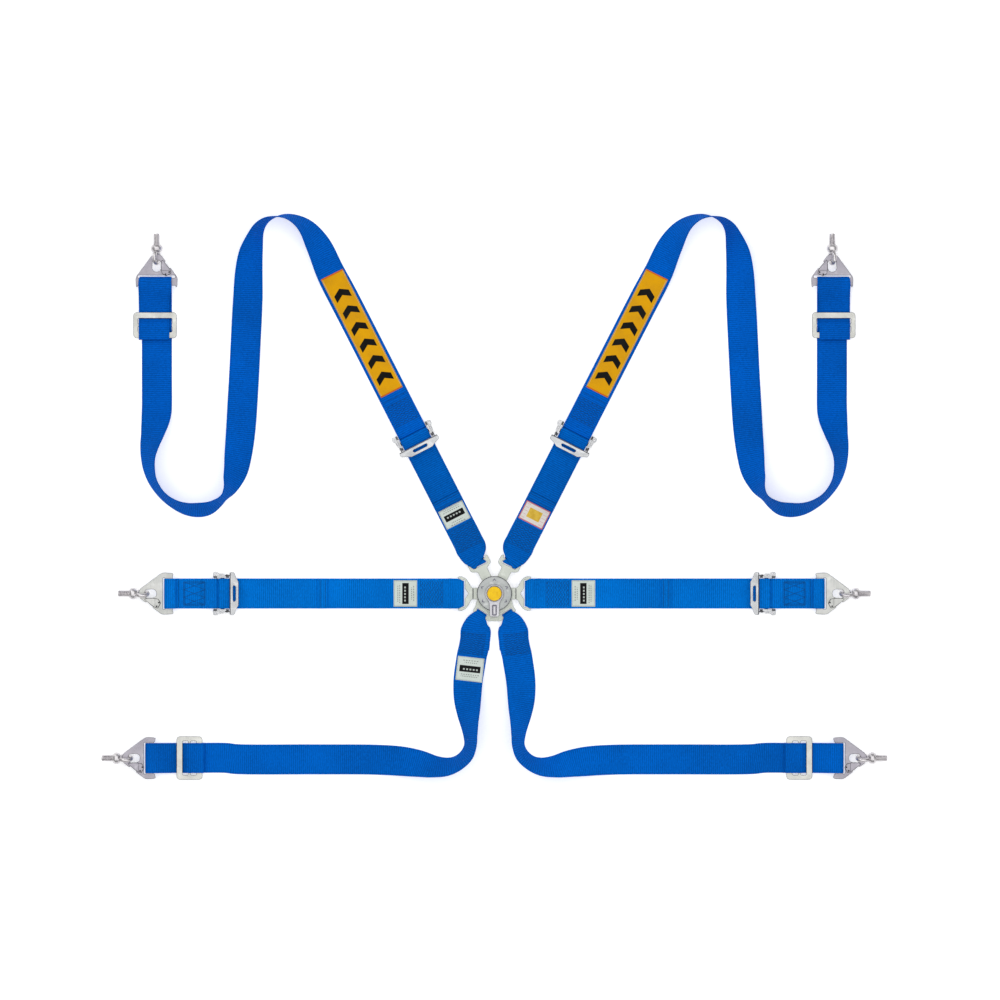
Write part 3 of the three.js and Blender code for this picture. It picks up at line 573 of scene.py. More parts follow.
def make(name, shape, material, body, nodes=(), crease=38, layout=None, edge=None):
    """One named piece that rides on a body and stands for the CAD nodes given.

    An edge material of painted shade, darker than the piece's own, goes on the faces that lean away from
    straight up and down.
    """
    mesh = bpy.data.meshes.new(name)
    mesh.from_pydata([tuple(p * MM) for p in shape.points], [], shape.faces)
    if layout is not None:
        layer = mesh.uv_layers.new(name="layout")
        corners = np.empty(len(mesh.loops), dtype=np.int64)
        mesh.loops.foreach_get("vertex_index", corners)
        layer.data.foreach_set("uv", (np.asarray(layout)[corners] * MM).ravel())
        mesh.polygons.foreach_set("use_smooth", [True] * len(mesh.polygons))
    else:
        tidy(mesh, 0.000002, math.radians(crease))
    mesh.materials.append(material)
    if edge is not None:
        mesh.materials.append(edge)
        for face in mesh.polygons:
            face.material_index = 1 if abs(face.normal.z) < EDGE_TILT else 0
    piece = bpy.data.objects.new(name, mesh)
    bpy.context.collection.objects.link(piece)
    if layout is None:
        modifier = piece.modifiers.new("normals", "WEIGHTED_NORMAL")
        modifier.keep_sharp = True
    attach(piece, body)
    if nodes:
        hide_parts(*nodes)
    return piece


MIRROR = Matrix.Diagonal((-1, 1, 1, 1))


def both(name, shape, material, body, nodes=(), crease=38, layout=None, edge=None):
    """The left piece and its mirror image on the right. Names, bodies and nodes have {} for the side."""
    pieces = []
    for side in ("left", "right"):
        here = shape if side == "left" else shape.by(MIRROR)
        pieces.append(make(name.format(side), here, material, body.format(side),
                           [n.format(side) for n in nodes], crease, layout, edge))
    return pieces


def station(x, y, angle):
    """Place of hardware whose own +X runs from a point along a compass angle."""
    return Matrix.Translation((x, y, 0)) @ Matrix.Rotation(math.radians(angle), 4, "Z")


# ---- webbing -------------------------------------------------------------------------------------------
WEB_HALF = 25.0
WEB_T = 1.6
LAYER = 1.9
FLOOR = WEB_T / 2 + 0.05
SECOND = FLOOR + LAYER
SHOULDER_ANGLE = 27
EYE_R, EYE_WIRE_R = 10.0, 3.4
EYE_Z = EYE_R + EYE_WIRE_R
HOOK_T = 3.0
LOOP_MID = 6.9 + WEB_T / 2
# Distances from a hook's nose to the webbing loop's axis, the plate's rear edge and the slide's middle,
# half the length of the hook's slot, and how far the slide and the belt's upper layer lie to one side.
Hook = namedtuple("Hook", "axis length slide slot_half slide_shift return_shift")
HOOKS = {
    "shoulder": Hook(46.4, 56.0, 118.5, 30.8, -2.9, -4.4),
    "lap": Hook(51.0, 58.0, None, 26.0, 0.0, 0.0),
    "crotch": Hook(47.0, 56.0, 112.0, 26.0, 0.0, 0.0),
}
SHOULDER_END, LAP_END, CROTCH_END = (-562.5, 565.5), (-592.5, 0.0), (-620.0, -274.0)
ADJUSTER_SHOULDER, ADJUSTER_LAP = 292.0, 453.0
GRIP_Z, GRIP_R = 7.6, 3.6
WRAP_MID = GRIP_R + 0.3 + WEB_T / 2
REAR_BAR_X, REAR_BAR, REAR_BAR_Z = 11.6, (2.2, 1.5), 5.0
TONGUE_Z, TONGUE_T = 9.6, 3.0

# Free routes with the webbing's lower edge on the floor: x, y, tilt in degrees.
SHOULDER_ROUTE = [
    (-251, 492, 3), (-274, 536, 18), (-293, 579, 34), (-313, 609, 56), (-330, 622, 70), (-347, 628, 80),
    (-366, 627, 90), (-381, 621, 100), (-391, 611, 109), (-398, 596, 119), (-405, 569, 139), (-409, 535, 154),
    (-411, 489, 168), (-414, 429, 180), (-418, 349, 180), (-423, 269, 166), (-427, 229, 153),
    (-430, 209, 144),
    (-436, 189, 129), (-442, 172, 112), (-450, 160, 102), (-463, 149, 108), (-478, 141.5, 116),
    (-493, 139.5, 118),
    (-512, 141.5, 114), (-532, 149, 108), (-552, 163, 105), (-568, 185, 108), (-575, 209, 115),
    (-576, 228, 121),
    (-573, 249, 132), (-568, 269, 144), (-564, 289, 162), (-562.5, 309, 180), (-562.5, 360, 180),
    (-562.5, 385, 180),
]
CROTCH_ROUTE = [
    (-39, -112, 2), (-43.5, -143, 12), (-44.5, -170, 22), (-43, -195, 38), (-41.5, -215, 52), (-40, -235, 62),
    (-40, -252, 66), (-46, -268, 64), (-60, -281, 62), (-78, -288, 55), (-103, -288, 44), (-130, -283, 26),
    (-160, -279, 10), (-200, -277, 0), (-300, -276.5, 0), (-430, -276, 0),
]


def row(p, w, half=WEB_HALF, fold=0.0, ease=0.0):
    """Station of webbing: centre, unit vector across, half width, how far its edges fold under, and slack."""
    return [*p, *w, half, fold, ease]


def lay_free(route):
    rows = []
    for i, (x, y, tilt) in enumerate(route):
        x0, y0, _ = route[max(i - 1, 0)]
        x1, y1, _ = route[min(i + 1, len(route) - 1)]
        size = math.hypot(x1 - x0, y1 - y0)
        t = math.radians(tilt)
        w = (-(y1 - y0) / size * math.cos(t), (x1 - x0) / size * math.cos(t), math.sin(t))
        z = WEB_HALF * abs(math.sin(t)) + WEB_T / 2 * abs(math.cos(t)) + 0.05
        rows.append(row((x, y, z), w, ease=1.0))
    return rows


def lay_along(origin, way, rows):
    """Stations along a belt, from rows of distance, height, half width, fold and shift to the left."""
    result = []
    for s, z, *rest in rows:
        half, fold, shift = (*rest, *(WEB_HALF, 0.0, 0.0)[len(rest):])
        place = (origin[0] + way[0] * s - way[1] * shift, origin[1] + way[1] * s + way[0] * shift, z)
        result.append(row(place, (-way[1], way[0], 0), half, fold))
    return result


def turn(s, z, r, start, end, steps, half=WEB_HALF):
    return [(s + r * math.cos(math.radians(start + (end - start) * i / steps)),
             z + r * math.sin(math.radians(start + (end - start) * i / steps)),
             half) for i in range(steps + 1)]


def hook_loop(axis):
    return [(axis + 9, EYE_Z - LOOP_MID + 0.3), *turn(axis, EYE_Z, LOOP_MID, 270, 90, 12),
            (axis + 9, EYE_Z + LOOP_MID - 0.5)]


def slide_end(hook):
    """From the free belt, through the slide, round the hook's bar and back to the slide."""
    axis, s, shift = hook.axis, hook.slide, hook.return_shift
    main = [(s + 60, FLOOR), (s + 12, 0.9), (s + 10, 1.8), (s + 3.5, 8.3), (s + 1.4, 9.3), (s - 1.6, 9.3),
            (s - 3.4, 8.4), (s - 11.6, 1.3), (s - 13.5, 0.9), (s - 22, 0.95)]
    back = [(s - 22, 3.2), (s - 13.5, 3.0), (s - 11.2, 4.0), (s - 3.4, 10.9), (s - 1, 11.7), (s + 3, 11.6),
            (s + 10, 10), (s + 19, 9.2), (s + 22, 8.9), (s + 23.4, 7.6), (s + 23.6, 5.8), (s + 22.6, 4.3),
            (s + 20, 3.9), (s + 12, 3.7)]
    loop = hook_loop(axis)
    part = [i / (len(loop) - 1) for i in range(len(loop))]
    skew = abs(shift) * 0.62
    return [*main, (axis + 34, 2.2), (axis + 20, 4.6),
            *[(r[0], r[1], WEB_HALF + skew * t, 0.0, shift * 0.6 * t) for r, t in zip(loop, part)],
            (axis + 20, 15.6, WEB_HALF + skew * 0.55, 0.0, shift * 0.8),
            *[(r[0], r[1], WEB_HALF + skew * 0.2, 0.0, shift) for r in [(axis + 34, 8.5), *back]]]


def grip_wrap(tail):
    """From the buckle, round the grip bar and back as a tail whose tip is folded over as a hem."""
    hem = 15.0
    return [(-60, FLOOR), (-22, FLOOR), (-8, 1.5), (-3, GRIP_Z - WRAP_MID - 0.1),
            *turn(0, GRIP_Z, WRAP_MID, 275, 345, 4), (5.6, 8.5), (6.5, 10.0), (5.9, 11.7), (3.6, 12.9),
            (0.4, 13.1),
            (-5, GRIP_Z + WRAP_MID - 1.4), (-12, 8.4), (-20, 5.2),
            (-30, SECOND + 0.3), (-45, SECOND), (-tail + 12, SECOND), (-tail + 1.0, SECOND),
            *turn(-tail + 1.0, SECOND + 0.9, 0.9, 262, 98, 6), (-tail + 2.0, SECOND + 1.8),
            (-tail + hem, SECOND + 1.75)]


def rear_loop():
    a, b = REAR_BAR
    r = b + 0.3 + WEB_T / 2
    return [(REAR_BAR_X + 22, SECOND + 0.2), (REAR_BAR_X + a + 4, REAR_BAR_Z + r - 0.6),
            (REAR_BAR_X + a, REAR_BAR_Z + r),
            *turn(REAR_BAR_X - a + 0.2, REAR_BAR_Z, r, 90, 270, 12),
            (REAR_BAR_X + a + 4, REAR_BAR_Z - r - 0.3), (REAR_BAR_X + 22, FLOOR)]


def tongue_loop(slot, bar_end, h0, h1, length, spread, lean=(0, 0, 0, 0, 0)):
    """Round a tongue's bar: the short under layer, the bar, and the upper layer that widens by the spread."""
    mid = TONGUE_Z + TONGUE_T / 2
    r = TONGUE_T / 2 + 0.3 + WEB_T / 2
    middle = min((h0 + h1) / 2 + 2, h1)
    upper = [(slot + 5.5, mid + r), (slot + 9.5, mid + r), (slot + 14.5, mid + r - 0.5), (slot + 21, 9.4),
             (slot + 31, 5.0)]
    fold = 0.8 if h0 < 15 else 0.0
    return [(slot + length, FLOOR, h1), (slot + 44, FLOOR, h1), (slot + 31, 1.6, h1),
            (slot + 20, 4.6, middle),
            (bar_end + 2, mid - r - 0.2, h0), (bar_end - 1, mid - r, h0),
            *turn(slot + 2 + r, mid, r, 270, 90, 12, h0),
            *[(s, z, half, fold, shift) for (s, z), half, shift in zip(upper, spread, lean)],
            (slot + 44, SECOND + 0.3, h1), (slot + length + 6, SECOND, h1), (slot + length + 16, FLOOR, h1)]


def shifted(rows, offset):
    return [(offset + r[0], *r[1:]) for r in rows]


def spline(rows, step=0.5):
    """Smooth line through the stations, sampled about every step."""
    p = np.array(rows, float)
    p = np.vstack([2 * p[0] - p[1], p, 2 * p[-1] - p[-2]])
    knots = np.concatenate([[0],
                            np.cumsum(np.sqrt(np.linalg.norm(np.diff(p[:, :3], axis=0), axis=1)) + 1e-6)])
    out = []
    for i in range(1, len(p) - 2):
        t0, t1, t2, t3 = knots[i - 1:i + 3]
        count = max(1, int(round(np.linalg.norm(p[i + 1, :3] - p[i, :3]) / step)))
        for k in range(count):
            t = t1 + (t2 - t1) * k / count
            a1 = (t1 - t) / (t1 - t0) * p[i - 1] + (t - t0) / (t1 - t0) * p[i]
            a2 = (t2 - t) / (t2 - t1) * p[i] + (t - t1) / (t2 - t1) * p[i + 1]
            a3 = (t3 - t) / (t3 - t2) * p[i + 1] + (t - t2) / (t3 - t2) * p[i + 2]
            b1 = (t2 - t) / (t2 - t0) * a1 + (t - t0) / (t2 - t0) * a2
            b2 = (t3 - t) / (t3 - t1) * a2 + (t - t1) / (t3 - t1) * a3
            out.append((t2 - t) / (t2 - t1) * b1 + (t - t1) / (t2 - t1) * b2)
    out.append(p[-2])
    return np.array(out)


def smoothed(values, passes, closed=False):
    for _ in range(passes):
        if closed:
            values = (np.roll(values, 1, axis=0) + 2 * values + np.roll(values, -1, axis=0)) / 4
        else:
            inner = (values[:-2] + 2 * values[1:-1] + values[2:]) / 4
            values = np.vstack([values[:1], inner, values[-1:]])
    return values


# Half of the webbing's section: distance from the centre and half thickness, with a corded selvedge.
SECTION = [(25.0, 0.0), (24.88, 0.38), (24.5, 0.66), (23.8, 0.8), (23.0, 0.76), (22.4, 0.62), (21.8, 0.76),
           (20.5, 0.8),
           (17.5, 0.8), (14.0, 0.8), (10.5, 0.8), (7.0, 0.8), (3.5, 0.8), (0.0, 0.8)]
TOP = [(-y, t) for y, t in SECTION] + [(y, t) for y, t in SECTION[-2::-1]]
RING = TOP + [(y, -t) for y, t in TOP[-2:0:-1]]


STATION_GAP, STATION_BEND = 3.2, math.radians(7)  # at most, between stations that are kept


class Ribbon:
    """Woven strap swept along stations, with its layout in millimetres along and across."""

    def __init__(self, rows, closed=False, passes=4, wave=0.0):
        if closed:
            rows = rows + rows[:1]
        line = spline(rows)
        if closed:
            line = line[:-1]
        line[:, :6] = smoothed(line[:, :6], passes, closed)
        line[:, 6:] = smoothed(line[:, 6:], 5, closed)
        p, w = line[:, :3], line[:, 3:6]
        along = np.roll(p, -1, axis=0) - np.roll(p, 1, axis=0) if closed else np.gradient(p, axis=0)
        along /= np.linalg.norm(along, axis=1)[:, None]
        w = w - along * (w * along).sum(axis=1)[:, None]
        w /= np.linalg.norm(w, axis=1)[:, None]
        up = np.cross(along, w)
        distance = np.concatenate([[0], np.cumsum(np.linalg.norm(np.diff(p, axis=0), axis=1))])
        kept = [0]
        for i in range(1, len(p)):
            last = kept[-1]
            bend = math.acos(max(-1, min(1, float(up[i] @ up[last]))))
            swing = math.acos(max(-1, min(1, float(along[i] @ along[last]))))
            if distance[i] - distance[last] > STATION_GAP or max(bend, swing) > STATION_BEND:
                kept.append(i)
        if not closed and kept[-1] != len(p) - 1:
            kept.append(len(p) - 1)
        self.line = p[kept]
        self.length = float(distance[-1])
        points, layout, faces = [], [], []
        ring = len(RING)
        for i in kept:
            half, fold, ease = line[i, 6:]
            for y, t in RING:
                place = abs(y)
                squeezed = place * half / WEB_HALF
                over = max(0.0, place - half)
                tucked = min(place, half) - 0.8 * over
                drop = LAYER * 1.02 * min(1.0, over / 1.2)
                side = (1 - fold) * squeezed + fold * tucked
                lift = -fold * drop * (1.0 if half < WEB_HALF else 0.0)
                ripple = wave * ease * (0.45 * math.sin(distance[i] / 31 + 1.1) * (y / WEB_HALF) ** 2
                                        + 0.22 * math.sin(distance[i] / 17 + y / 8))
                points.append(p[i] + w[i] * math.copysign(side, y) + up[i] * (t + lift + ripple))
                layout.append((distance[i], y))
            clearance = max(0.0, 0.03 - min(q[2] for q in points[-ring:]))
            points[-ring:] = [q + np.array((0, 0, clearance)) for q in points[-ring:]]
        count = len(kept)
        for i in range(count if closed else count - 1):
            a, b = i * ring, ((i + 1) % count) * ring
            for k in range(ring):
                m = (k + 1) % ring
                faces.append((a + k, b + k, b + m, a + m))
        if not closed:
            faces.append(tuple(range(ring)))
            faces.append(tuple((count - 1) * ring + k for k in range(ring))[::-1])
        self.shape = Shape(points, faces)
        self.layout = layout


shoulder_way = (-math.sin(math.radians(SHOULDER_ANGLE)), math.cos(math.radians(SHOULDER_ANGLE)))
lap_way = (-1.0, 0.0)
centre = (0.0, 0.0)

lower_rows = lay_along(centre, shoulder_way,
                       tongue_loop(51.5, 61, 11.9, WEB_HALF, 74, (13.0, 16.2, 19.2, 22.0, 24.8),
                                   (1.2, 2.2, 2.8, 2.6, 1.2))
                       + shifted(grip_wrap(127), ADJUSTER_SHOULDER))
lap_rows = lay_along(centre, lap_way,
                     tongue_loop(49.2, 59, 21.4, WEB_HALF, 74, (22.6, 24.6, 25.0, 25.0, 25.0))
                     + shifted(grip_wrap(174), ADJUSTER_LAP))
loop_rows = shifted(rear_loop(), ADJUSTER_LAP)
loop_rows += [(ADJUSTER_LAP + 60, FLOOR), (ADJUSTER_LAP + 76, 3.4)]
loop_rows += [(-LAP_END[0] - r[0], r[1]) for r in hook_loop(HOOKS["lap"].axis)]
loop_rows += [(ADJUSTER_LAP + 76, EYE_Z + LOOP_MID - 11.5), (ADJUSTER_LAP + 60, SECOND + 0.4)]
upper_rows = lay_along(centre, shoulder_way,
                       shifted([(85, FLOOR), *rear_loop()[::-1], (84, SECOND)], ADJUSTER_SHOULDER))
upper_rows += lay_free(SHOULDER_ROUTE)
upper_rows += lay_along(SHOULDER_END, (0, -1), slide_end(HOOKS["shoulder"]))

slot_way = Vector((-0.55, -0.835)).normalized()
CROTCH_BAR_D, CROTCH_BAR_Z, CROTCH_LOOP = 41.4, 5.4, 4.4


def crotch_rows():
    narrow = 9.4
    d, z, r = CROTCH_BAR_D, CROTCH_BAR_Z, CROTCH_LOOP
    loop = lay_along(centre, slot_way, [(d + 4, z - r + 0.1, narrow), *turn(d, z, r, 270, 90, 12, narrow),
                                        (d + 4, z + r - 0.1, 15.0, 0.3)])
    under = [(-33.5, -93, FLOOR, 25, 0, 0), (-32, -76, FLOOR, 24.6, 0, 0),
             (-30, -64, FLOOR + 0.1, 19.6, 12, 0),
             (-28, -55, FLOOR + 0.3, 13, 24, 0)]
    over = [(-29.5, -49, 8.2, 21, 12, 0.4), (-31, -61, 5.4, 25, 3, 0), (-32, -76, SECOND + 0.4, 25, 0, 0),
            (-35, -93, SECOND, 25, 0, 0), (-37.5, -103, SECOND - 0.9, 25, 0, 0)]

    def free(x, y, height, half, lean, fold):
        a = math.radians(180 + lean * 0.35)
        return row((x, y, height), (-math.cos(a), -math.sin(a), 0), half, fold)

    rows = [free(*r) for r in under] + loop + [free(*r) for r in over] + lay_free(CROTCH_ROUTE)
    rows += lay_along(CROTCH_END, (1, 0), slide_end(HOOKS["crotch"]))
    for before, here in zip(rows, rows[1:]):
        if sum(a * b for a, b in zip(before[3:6], here[3:6])) < 0:
            here[3:6] = [-c for c in here[3:6]]
    return rows


RIBBONS = {
    "shoulder_belt_lower": (Ribbon(lower_rows), "shoulder_belt_{}", LOWER_WEBBING),
    "lap_belt": (Ribbon(lap_rows), "lap_belt_{}", LAP_WEBBING),
    "lap_anchor_loop": (Ribbon(lay_along(centre, lap_way, loop_rows), closed=True), "lap_belt_{}",
                        LAP_WEBBING),
    "shoulder_belt_upper": (Ribbon(upper_rows, wave=1.0), "shoulder_belt_{}", UPPER_WEBBING),
    "crotch_belt": (Ribbon(crotch_rows(), wave=1.0), "crotch_belt_{}", CROTCH_WEBBING),
}

for name, (ribbon, body, cloth) in RIBBONS.items():
    for side, piece in zip(("left", "right"),
                           both(f"{name}_webbing_{{}}", ribbon.shape, cloth, body,
                                                   [f"{name}_{{}}"], layout=ribbon.layout)):
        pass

ground = BVHTree.FromPolygons(*(lambda s: ([tuple(p) for p in s.points], s.faces))(
    joined([ribbon.shape for ribbon, _, _ in RIBBONS.values()])))


def on_strap(x, y):
    """Highest point of the left side's webbing at a place, and its normal."""
    hit, normal, _, _ = ground.ray_cast(Vector((x, y, 200)), Vector((0, 0, -1)))
    return (hit, normal) if hit is not None else (None, None)


class Strap:
    """Places on a strap, by distance along a direction and distance across."""

    def __init__(self, origin, way):
        self.origin, self.way = Vector(origin), Vector(way).normalized()
        self.side = Vector((-self.way.y, self.way.x))

    def at(self, s, y):
        place = self.origin + self.way * s + self.side * y
        return place.x, place.y


def stitch(a, b, radius=0.42, sink=0.1):
    """One stitch of thread lying on the webbing between two places."""
    (p, n), (q, m) = on_strap(*a), on_strap(*b)
    if p is None or q is None:
        return Shape()
    along = q - p
    if along.length < 0.3:
        return Shape()
    up = (n + m).normalized()
    if up.z < 0:
        up = -up
    along.normalize()
    side = along.cross(up).normalized()
    points, faces = [], []
    sides = 6
    for t, size, lift in ((0.02, 0.45, -0.12), (0.2, 0.95, 0.12), (0.5, 1.0, 0.2), (0.8, 0.95, 0.12),
                          (0.98, 0.45, -0.12)):
        middle = p.lerp(q, t) + up * (lift + radius - sink - 0.2)
        around = [2 * math.pi * k / sides for k in range(sides)]
        points += [middle + (side * math.cos(a) + up * math.sin(a)) * radius * size for a in around]
    for i in range(4):
        for k in range(sides):
            m2 = (k + 1) % sides
            faces.append((i * sides + k, i * sides + m2, (i + 1) * sides + m2, (i + 1) * sides + k))
    faces.append(tuple(range(sides))[::-1])
    faces.append(tuple(4 * sides + k for k in range(sides)))
    return Shape(points, faces)


def sewn(strap, lines, length=3.0, radius=0.42):
    """Stitches along lines of (s, y) points."""
    total = Shape()
    for line in lines:
        for (s0, y0), (s1, y1) in zip(line, line[1:]):
            span = math.hypot(s1 - s0, y1 - y0)
            count = max(1, round(span / length))
            for k in range(count):
                a, b = k / count, (k + 0.94) / count
                total = total + stitch(strap.at(s0 + (s1 - s0) * a, y0 + (y1 - y0) * a),
                                       strap.at(s0 + (s1 - s0) * b, y0 + (y1 - y0) * b), radius)
    return total


def zigzag_block(s0, s1, half=21.0, rows=8):
    """Dense bar-tack block: zigzag rows across the strap inside a border."""
    lines = []
    depth = (s1 - s0) / rows
    for r in range(rows):
        mid = s0 + depth * (r + 0.5)
        teeth = 11
        lines.append([(mid + depth * 0.42 * (-1) ** k,
                       -half + 2 * half * k / teeth) for k in range(teeth + 1)])
    lines.append([(s0 - 1, -half), (s0 - 1, half)])
    lines.append([(s1 + 1, half), (s1 + 1, -half)])
    return lines


def box_block(s0, s1, half):
    """Box stitch with crossing diagonals."""
    box = [(s0, -half), (s1, -half), (s1, half), (s0, half), (s0, -half)]
    inner = [(s0 + 2, -half + 2), (s1 - 2, -half + 2), (s1 - 2, half - 2), (s0 + 2, half - 2),
             (s0 + 2, -half + 2)]
    cross = []
    for a, b in ((-half, -half / 3), (-half / 3, half / 3), (half / 3, half)):
        cross += [[(s0, a), (s1, b)], [(s0, b), (s1, a)]]
    return [box, inner, *cross]


shoulder_strap = Strap(centre, shoulder_way)
lap_strap = Strap(centre, lap_way)
crotch_strap = Strap((-33.5, -60), (-0.11, -1.0))
SEAMS = {
    "shoulder_lower": (shoulder_strap, zigzag_block(88, 125)),
    "shoulder_upper": (shoulder_strap, zigzag_block(321, 357) + [[(366, -21), (366, 21)]]),
    "shoulder_hem": (shoulder_strap, [[(176, -22), (176, 22)], [(168, 22), (168, -22)]]),
    "lap_inner": (lap_strap, zigzag_block(87, 123)),
    "lap_hem": (lap_strap, [[(290, -22), (290, 22)], [(282, 22), (282, -22)]]),
    "lap_loop": (lap_strap, box_block(482, 518, 19.5) + [[(526, -22), (526, 22)]]),
    "crotch": (crotch_strap, zigzag_block(8, 40, 20.5)),
}
for name, (strap, lines) in SEAMS.items():
    belt = name.split("_")[0]
    both(f"{name}_stitching_{{}}", sewn(strap, lines), THREAD, f"{belt}_belt_{{}}")


def label(strap, s0, s1, half, thickness=0.5):
    """Thin patch that lies on the strap, with its layout from its own centre."""
    along = max(6, int((s1 - s0) / 3.0))
    over = max(6, int(2 * half / 3.0))
    middle = (s0 + s1) / 2
    top, under, layout = [], [], []
    for i in range(along + 1):
        for k in range(over + 1):
            s, y = s0 + (s1 - s0) * i / along, -half + 2 * half * k / over
            rim_s, rim_y = i in (0, along), k in (0, over)
            hit, normal = on_strap(*strap.at(s, y))
            if hit is None:
                hit, normal = Vector((*strap.at(s, y), 0.85)), Vector((0, 0, 1))
            if normal.z < 0:
                normal = -normal
            height = 0.16 if rim_s or rim_y else thickness
            top.append(hit + normal * height)
            under.append(hit - normal * 0.15)
            layout.append((s - middle, y))
    base = len(top)
    faces = []
    for i in range(along):
        for k in range(over):
            a, b = i * (over + 1) + k, (i + 1) * (over + 1) + k
            faces.append((a, b, b + 1, a + 1))
            faces.append((base + a, base + a + 1, base + b + 1, base + b))
    rim = list(range(over + 1)) + [i * (over + 1) + over for i in range(1, along + 1)]
    rim += [along * (over + 1) + k for k in range(over - 1, -1,
                                                  -1)] + [i * (over + 1) for i in range(along - 1, 0, -1)]
    for a, b in zip(rim, rim[1:] + rim[:1]):
        faces.append((a, b, b + base, a + base))
    return Shape(top + under, faces), layout + layout


def label_seam(strap, s0, s1, half, radius=0.2, length=2.2, inset=1.3):
    box = [(s0 + inset, -half + inset), (s1 - inset, -half + inset), (s1 - inset, half - inset),
           (s0 + inset, half - inset), (s0 + inset, -half + inset)]
    return sewn(strap, [box], length, radius).moved(z=0.45)


def put_label(name, strap, s0, s1, half, material, sides=("left", "right"),
              thread=PALE_THREAD):
    """A label sewn to the belt that its name begins with."""
    body = name.split("_")[0] + "_belt_{}"
    patch, layout = label(strap, s0, s1, half)
    seam = label_seam(strap, s0, s1, half)
    for side in sides:
        here, thin = (patch, seam) if side == "left" else (patch.by(MIRROR), seam.by(MIRROR))
        piece = make(f"{name}_{side}", here, material, body.format(side), layout=layout)
        make(f"{name}_seam_{side}", thin, thread, body.format(side))


put_label("shoulder_panel", shoulder_strap, 376, 597, 20.2, YELLOW_LABEL,
          thread=GOLD_THREAD)
put_label("shoulder_tag", shoulder_strap, 130.5, 163.5, 22.3, WHITE_LABEL, ("left",))
put_label("shoulder_tag", shoulder_strap, 130.5, 163.5, 22.3, GOLD_LABEL, ("right",))
put_label("lap_tag", lap_strap, 128.8, 168.0, 22.0, WHITE_LABEL)
put_label("crotch_tag", crotch_strap, 46.5, 86.5, 22.3, WHITE_LABEL, ("left",))


# ---- hooks, gates and eyebolts -------------------------------------------------------------------------
def hook_plate(hook):
    axis, length, slot_half = hook.axis, hook.length, hook.slot_half
    half = 34.3
    outline = [
        (3, -8.5), (14.5, -17), (14.5, -6.8), (12.5, -6.6), (10.4, -3.6), (10.4, 3.6), (12.5, 6.6),
        (24, 7.4), (28.5, 5),
        (30, 0), (28.5, -5), (23.5, -7.35), (23.5, -23.6), (38, -half), (43, -half - 0.6),
        (length - 2.5, -half),
        (length, -half + 1.5), (length - 1.5, -slot_half - 1), (axis + 6.4, -slot_half - 0.6),
        (axis + 6.4, slot_half + 0.6),
        (length - 1.5, slot_half + 1), (length, half - 1.5), (length - 2.5, half), (43, half + 0.6),
        (38, half), (3, 8.5), (0.3, 3.5), (0.3, -3.5),
    ]
    radii = [6, 2.4, 1.0, 2, 3, 3, 3, 3, 3, 4, 3, 2.0, 2.4, 8, 8, 2, 1, 1, 2, 2, 1, 1, 2, 8, 8, 6, 5, 5]
    slot = rounded(box_outline(axis - 10.8, axis - 6.4, -slot_half, slot_half), 1.4)
    return plate(rounded(outline, radii), EYE_Z - HOOK_T / 2, EYE_Z + HOOK_T / 2, 1.0, [slot])


GATE_Z = EYE_Z + HOOK_T / 2 + 0.3
GATE_OUTLINE = [(9.5, -9.4), (14, -8.3), (18, -7.9), (24.6, -8.1), (32.4, -9.4), (36.4, -15.6), (31.8, -24.0),
                (26.6, -22.6), (21.4, -18.8), (13.8, -12.6)]
GATE_RIVETS = ((34.0, -15.0), (30.2, -21.2))
GATE_SPLIT = 27.4  # the heel beyond this is riveted to the hook and stays when the leaf lifts


def clipped(outline, limit, above):
    """The part of an outline on one side of a limit in x."""
    result = []
    for (ax, ay), (bx, by) in zip(outline, outline[1:] + outline[:1]):
        if (ax > limit) == above:
            result.append((ax, ay))
        if (ax > limit) != (bx > limit):
            result.append((limit, ay + (by - ay) * (limit - ax) / (bx - ax)))
    return result


def gate_pieces(above):
    """The heel or the leaf of the spring gate: the steel, and a wider dark sheet under it whose rim is
    painted shadow, a line round it.
    """
    middle = sum((Vector(p) for p in GATE_OUTLINE), Vector((0, 0))) / len(GATE_OUTLINE)
    wider = [tuple(Vector(p) + (Vector(p) - middle).normalized() * 0.9) for p in GATE_OUTLINE]
    limit = GATE_SPLIT + (0.15 if above else -0.15)
    steel = plate(clipped(rounded(GATE_OUTLINE, 1.6), limit, above), GATE_Z, GATE_Z + 1.4, 0.3)
    rim_shadow = plate(clipped(rounded(wider, 1.8), limit, above), GATE_Z - 0.28, GATE_Z + 0.12, 0.1)
    return steel, rim_shadow


def gate_rivets():
    head = lathe(soft_profile([(0, 0), (1.5, 0), (1.5, 0.4), (0.9, 0.8), (0, 0.9)], 0.25), 20)
    return joined([head.moved(x, y, GATE_Z + 1.3) for x, y in GATE_RIVETS])


RING_LEAN = 20  # degrees that an eyebolt's ring leans from upright


